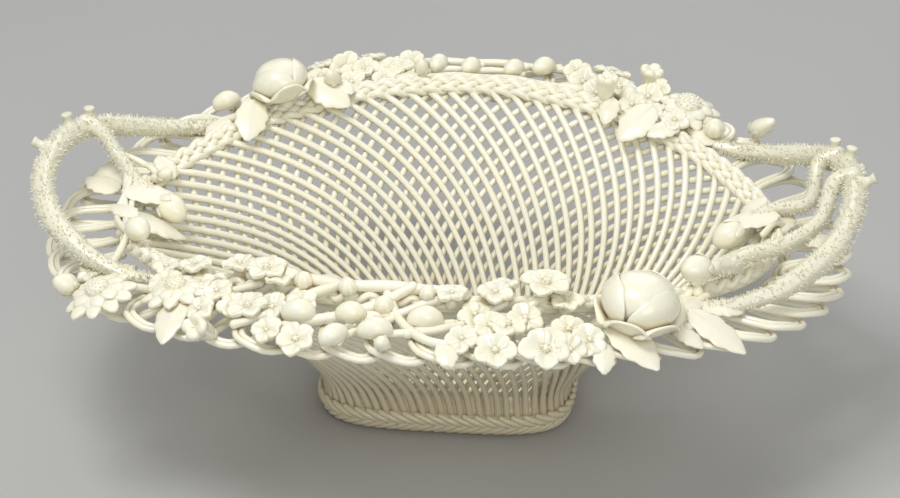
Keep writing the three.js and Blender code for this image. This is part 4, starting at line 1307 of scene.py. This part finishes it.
# Small blossoms, leaves and knobs between the named ones: the form, then of each the
# scale, share, depth, lean, lift and spin
BLOSSOM_UNITS = (100, 1000, 100, 1, 10, 1)
BLOSSOMS = {
    "front_left_blossoms": (
        (small_flower, (72, 645, -5, -10, 6, 0), (70, 622, 12, -5, 8, 30),
         (66, 682, 42, 25, 4, 10), (62, 652, 72, 25, 6, 50), (60, 690, 90, 30, 2, 15),
         (66, 676, 6, 0, 4, 60), (60, 575, 72, 30, 3, 0), (60, 662, 50, 20, 5, 80),
         (55, 592, 55, 15, 6, 35), (70, 618, 42, 10, 16, 20), (70, 634, 30, 5, 18, 65),
         (62, 605, 20, 0, 16, 5), (66, 648, 34, 12, 14, 45), (62, 694, 30, 15, 16, 30)),
        (ribbed_knob, (80, 715, 10, 10, -8, 0), (85, 735, 24, 10, 4, 0), (75, 756, 10, 10, -8, 0),
         (80, 690, 8, 0, -8, 0)),
        (bud, (62, 740, 92, 55, 4, -40)),
    ),
    "front_right_blossoms": (
        (small_flower, (72, 779, 32, 15, 6, 0), (70, 790, 10, 5, 6, 30), (72, 802, 40, 20, 10, 55),
         (70, 819, 62, 25, 6, 20), (66, 826, 16, 5, 6, 40), (62, 772, 80, 25, 2, 70),
         (62, 815, 100, 35, 2, 0), (60, 797, -12, -15, 4, 20), (60, 871, 22, 10, 8, 15),
         (66, 785, 55, 20, 12, 10), (70, 825, 85, 30, 6, 33), (62, 874, 62, 20, 8, 25)),
        (bud, (75, 903, 12, -20, 6, 100)),
        (small_flower, (62, 768, 12, 0, 10, 40)),
    ),
    "back_left_blossoms": (
        (small_flower, (66, 320, 30, -25, 10, 0), (62, 301, 30, -30, 10, 30),
         (66, 284, 75, -35, 12, 10), (72, 317, 85, -40, 16, 45), (60, 345, 80, -35, 12, 20),
         (62, 290, 50, -30, 10, 40)),
        (bud, (60, 280, 10, -20, 6, 30)),
        (small_flower, (70, 308, 60, -35, 20, 70)),
        (bud, (62, 469, -12, -60, 12, 90)),
    ),
    "back_right_blossoms": (
        (small_flower, (74, 190, 50, -30, 14, 0), (70, 178, 30, -30, 12, 30),
         (70, 155, 60, -25, 14, 10), (64, 152, 16, -30, 10, 50), (55, 112, 50, -15, 10, 20),
         (66, 198, 80, -30, 12, 60), (64, 158, 90, -30, 12, 35)),
        (ribbed_knob, (100, 159, 30, -10, 14, 0), (100, 108, 42, -5, 16, 0)),
        (small_flower, (66, 142, 20, -15, 12, 15), (62, 122, 12, -20, 12, 55)),
    ),
    "front_small_leaves": (
        (leaf, (50, 600, 100, 20, 3, -70), (55, 585, 50, 5, 6, 210), (50, 655, 35, 10, 12, 160),
         (55, 700, 2, -20, 12, 100), (50, 868, 75, 15, 8, -60), (60, 885, 30, 0, 12, 20),
         (62, 897, 35, 5, 8, -30), (50, 830, 95, 25, 2, -100), (50, 765, 90, 20, 3, -80),
         (50, 872, -5, -25, 10, 70)),
    ),
    "back_small_leaves": (
        (leaf, (55, 398, 20, -10, 16, 20), (50, 372, 45, 0, 16, 200), (50, 283, 30, 0, 14, 10),
         (50, 160, -2, -30, 8, 100), (55, 118, 5, -20, 10, 60), (50, 200, 30, 0, 12, 190),
         (45, 332, 10, -15, 14, 120), (55, 104, 30, 0, 14, 0)),
    ),
    "end_small_leaves": (
        (leaf, (85, 497, 0, -12, 24, 105), (50, 455, 5, -20, 16, 70), (70, 482, 35, 0, 26, 250),
         (80, 8, 0, -12, 24, 80), (50, 30, -2, -25, 14, 110), (50, 968, 0, -20, 14, 70),
         (70, 4, 35, 5, 20, 250), (55, 515, 10, 0, 24, 40), (60, 22, 20, 0, 24, 160)),
    ),
}


def trim():
    for name, stems in STEMS.items():
        shape = Shape()
        for tenths, *stops in stems:
            line = [rim_point(share, depth, garland_height(depth) + lift)
                    for share, depth, lift in np.array(stops) / STEM_UNITS]
            count = 12 * len(stops)
            swell = 1 + 0.05 * np.sin(np.linspace(0, 3 * len(stops), count))
            shape.add(*tube(spline(line, count), tenths / 10 * swell, 10))
        piece(name, shape, "glazed_leaves")
    for name, groups in BLOSSOMS.items():
        shape = Shape()
        for make, *rows in groups:
            for scale, share, depth, lean, lift, spin in np.array(rows) / BLOSSOM_UNITS:
                shape.merge(make(scale), seat_matrix(*loose_seat(share, depth, lean, lift), spin))
        piece(name, shape, slot_of(groups[0][0]), levels=1)


# The photograph's camera: turned, raised and a little rolled
PHOTO_WIDTH_PX = 900
FOCAL_PX = 2729.41
SENSOR = 36
TURNED = 0.1221
RAISED = 0.5097
ROLLED = -0.0122
DISTANCE = 1114.015
AIM_RIGHT = 0.269
AIM_UP = 59.739


def camera():
    level = math.cos(RAISED)
    back = np.array([math.sin(TURNED) * level, -math.cos(TURNED) * level, math.sin(RAISED)])
    right = np.array([math.cos(TURNED), math.sin(TURNED), 0])
    above = np.cross(back, right)
    c, s = math.cos(ROLLED), math.sin(ROLLED)
    right, above = c * right + s * above, c * above - s * right
    data = bpy.data.cameras.new("camera")
    data.sensor_width = SENSOR
    data.lens = FOCAL_PX * SENSOR / PHOTO_WIDTH_PX
    data.clip_start = 0.05
    matrix = Matrix(np.stack([right, above, back], 1).tolist()).to_4x4()
    matrix.translation = Vector((right * AIM_RIGHT + above * AIM_UP + back * DISTANCE) * MM)
    bpy.context.scene.camera = linked("camera", data)
    bpy.context.scene.camera.matrix_world = matrix


FLOOR_REACH = 6.0
FLOOR_GREYS = ((0.42, 0.42, 0.41), (0.46, 0.46, 0.45))
FLOOR_CLOUD_SCALE = 3.0
WORLD_LIGHT = 0.4
LAMP_AIM = Vector((0, 0, 0.06))
# A lamp's place and width in metres, and its watts
LAMPS = {
    "key": ((-0.3, -0.35, 1.25), 0.5, 9.2),
    "fill": ((0.5, -1.1, 0.75), 0.8, 5.2),
    "back": ((0.1, 0.9, 0.8), 0.8, 2.5),
}


def stage():
    """The floor, the world's light and the lamps."""
    graph = Graph("pale_floor")
    tint = graph.mixed(graph.noise(FLOOR_CLOUD_SCALE), *FLOOR_GREYS)
    graph.feed(graph.shader, {"Base Color": tint, "Roughness": 0.75})
    mesh = bpy.data.meshes.new("floor")
    corners = ((-1, -1), (1, -1), (1, 1), (-1, 1))
    mesh.from_pydata([(x * FLOOR_REACH, y * FLOOR_REACH, 0) for x, y in corners], [], [range(4)])
    mesh.materials.append(graph.material)
    floor = linked("floor", mesh)
    world = bpy.data.worlds.new("studio")
    world.use_nodes = True
    background = world.node_tree.nodes["Background"]
    background.inputs["Color"].default_value = (1, 1, 1, 1)
    background.inputs["Strength"].default_value = WORLD_LIGHT
    bpy.context.scene.world = world
    for name, (place, size, watts) in LAMPS.items():
        data = bpy.data.lights.new(name, "AREA")
        data.size = size
        data.energy = watts
        lamp = linked(name, data)
        lamp.location = place
        lamp.rotation_euler = (LAMP_AIM - lamp.location).to_track_quat("-Z", "Y").to_euler()


camera()
stage()
foot()
base()
rods("inner_wall_rods", "inner_rods", 1, -1)
# The outer rods take the tanner copy of the rods' glaze: painted shade low on the outer wall
rods("outer_wall_rods", "outer_rods", -1, 1, "outer_rods")
rope()
border("border_rods_a", "border_strand_a", 0)
border("border_rods_b", "border_strand_b", 1)
handle("left_bark_handle", "left_handle_branch", -1)
handle("right_bark_handle", "right_handle_branch", 1)
twig("left_bark_twig", "left_twig", -1, 0.3, LEFT_TWIG, 0.8, 420)
twig("right_bark_twig", "right_twig", 1, 0.3, RIGHT_TWIG, 0.8, 360)
twig("right_bark_branch", "right_side_branch", 1, 0.45, RIGHT_SIDE_BRANCH, 1.0, 640)
applied()
lying_buds()
trim()

bpy.context.scene.view_settings.view_transform = "Standard"
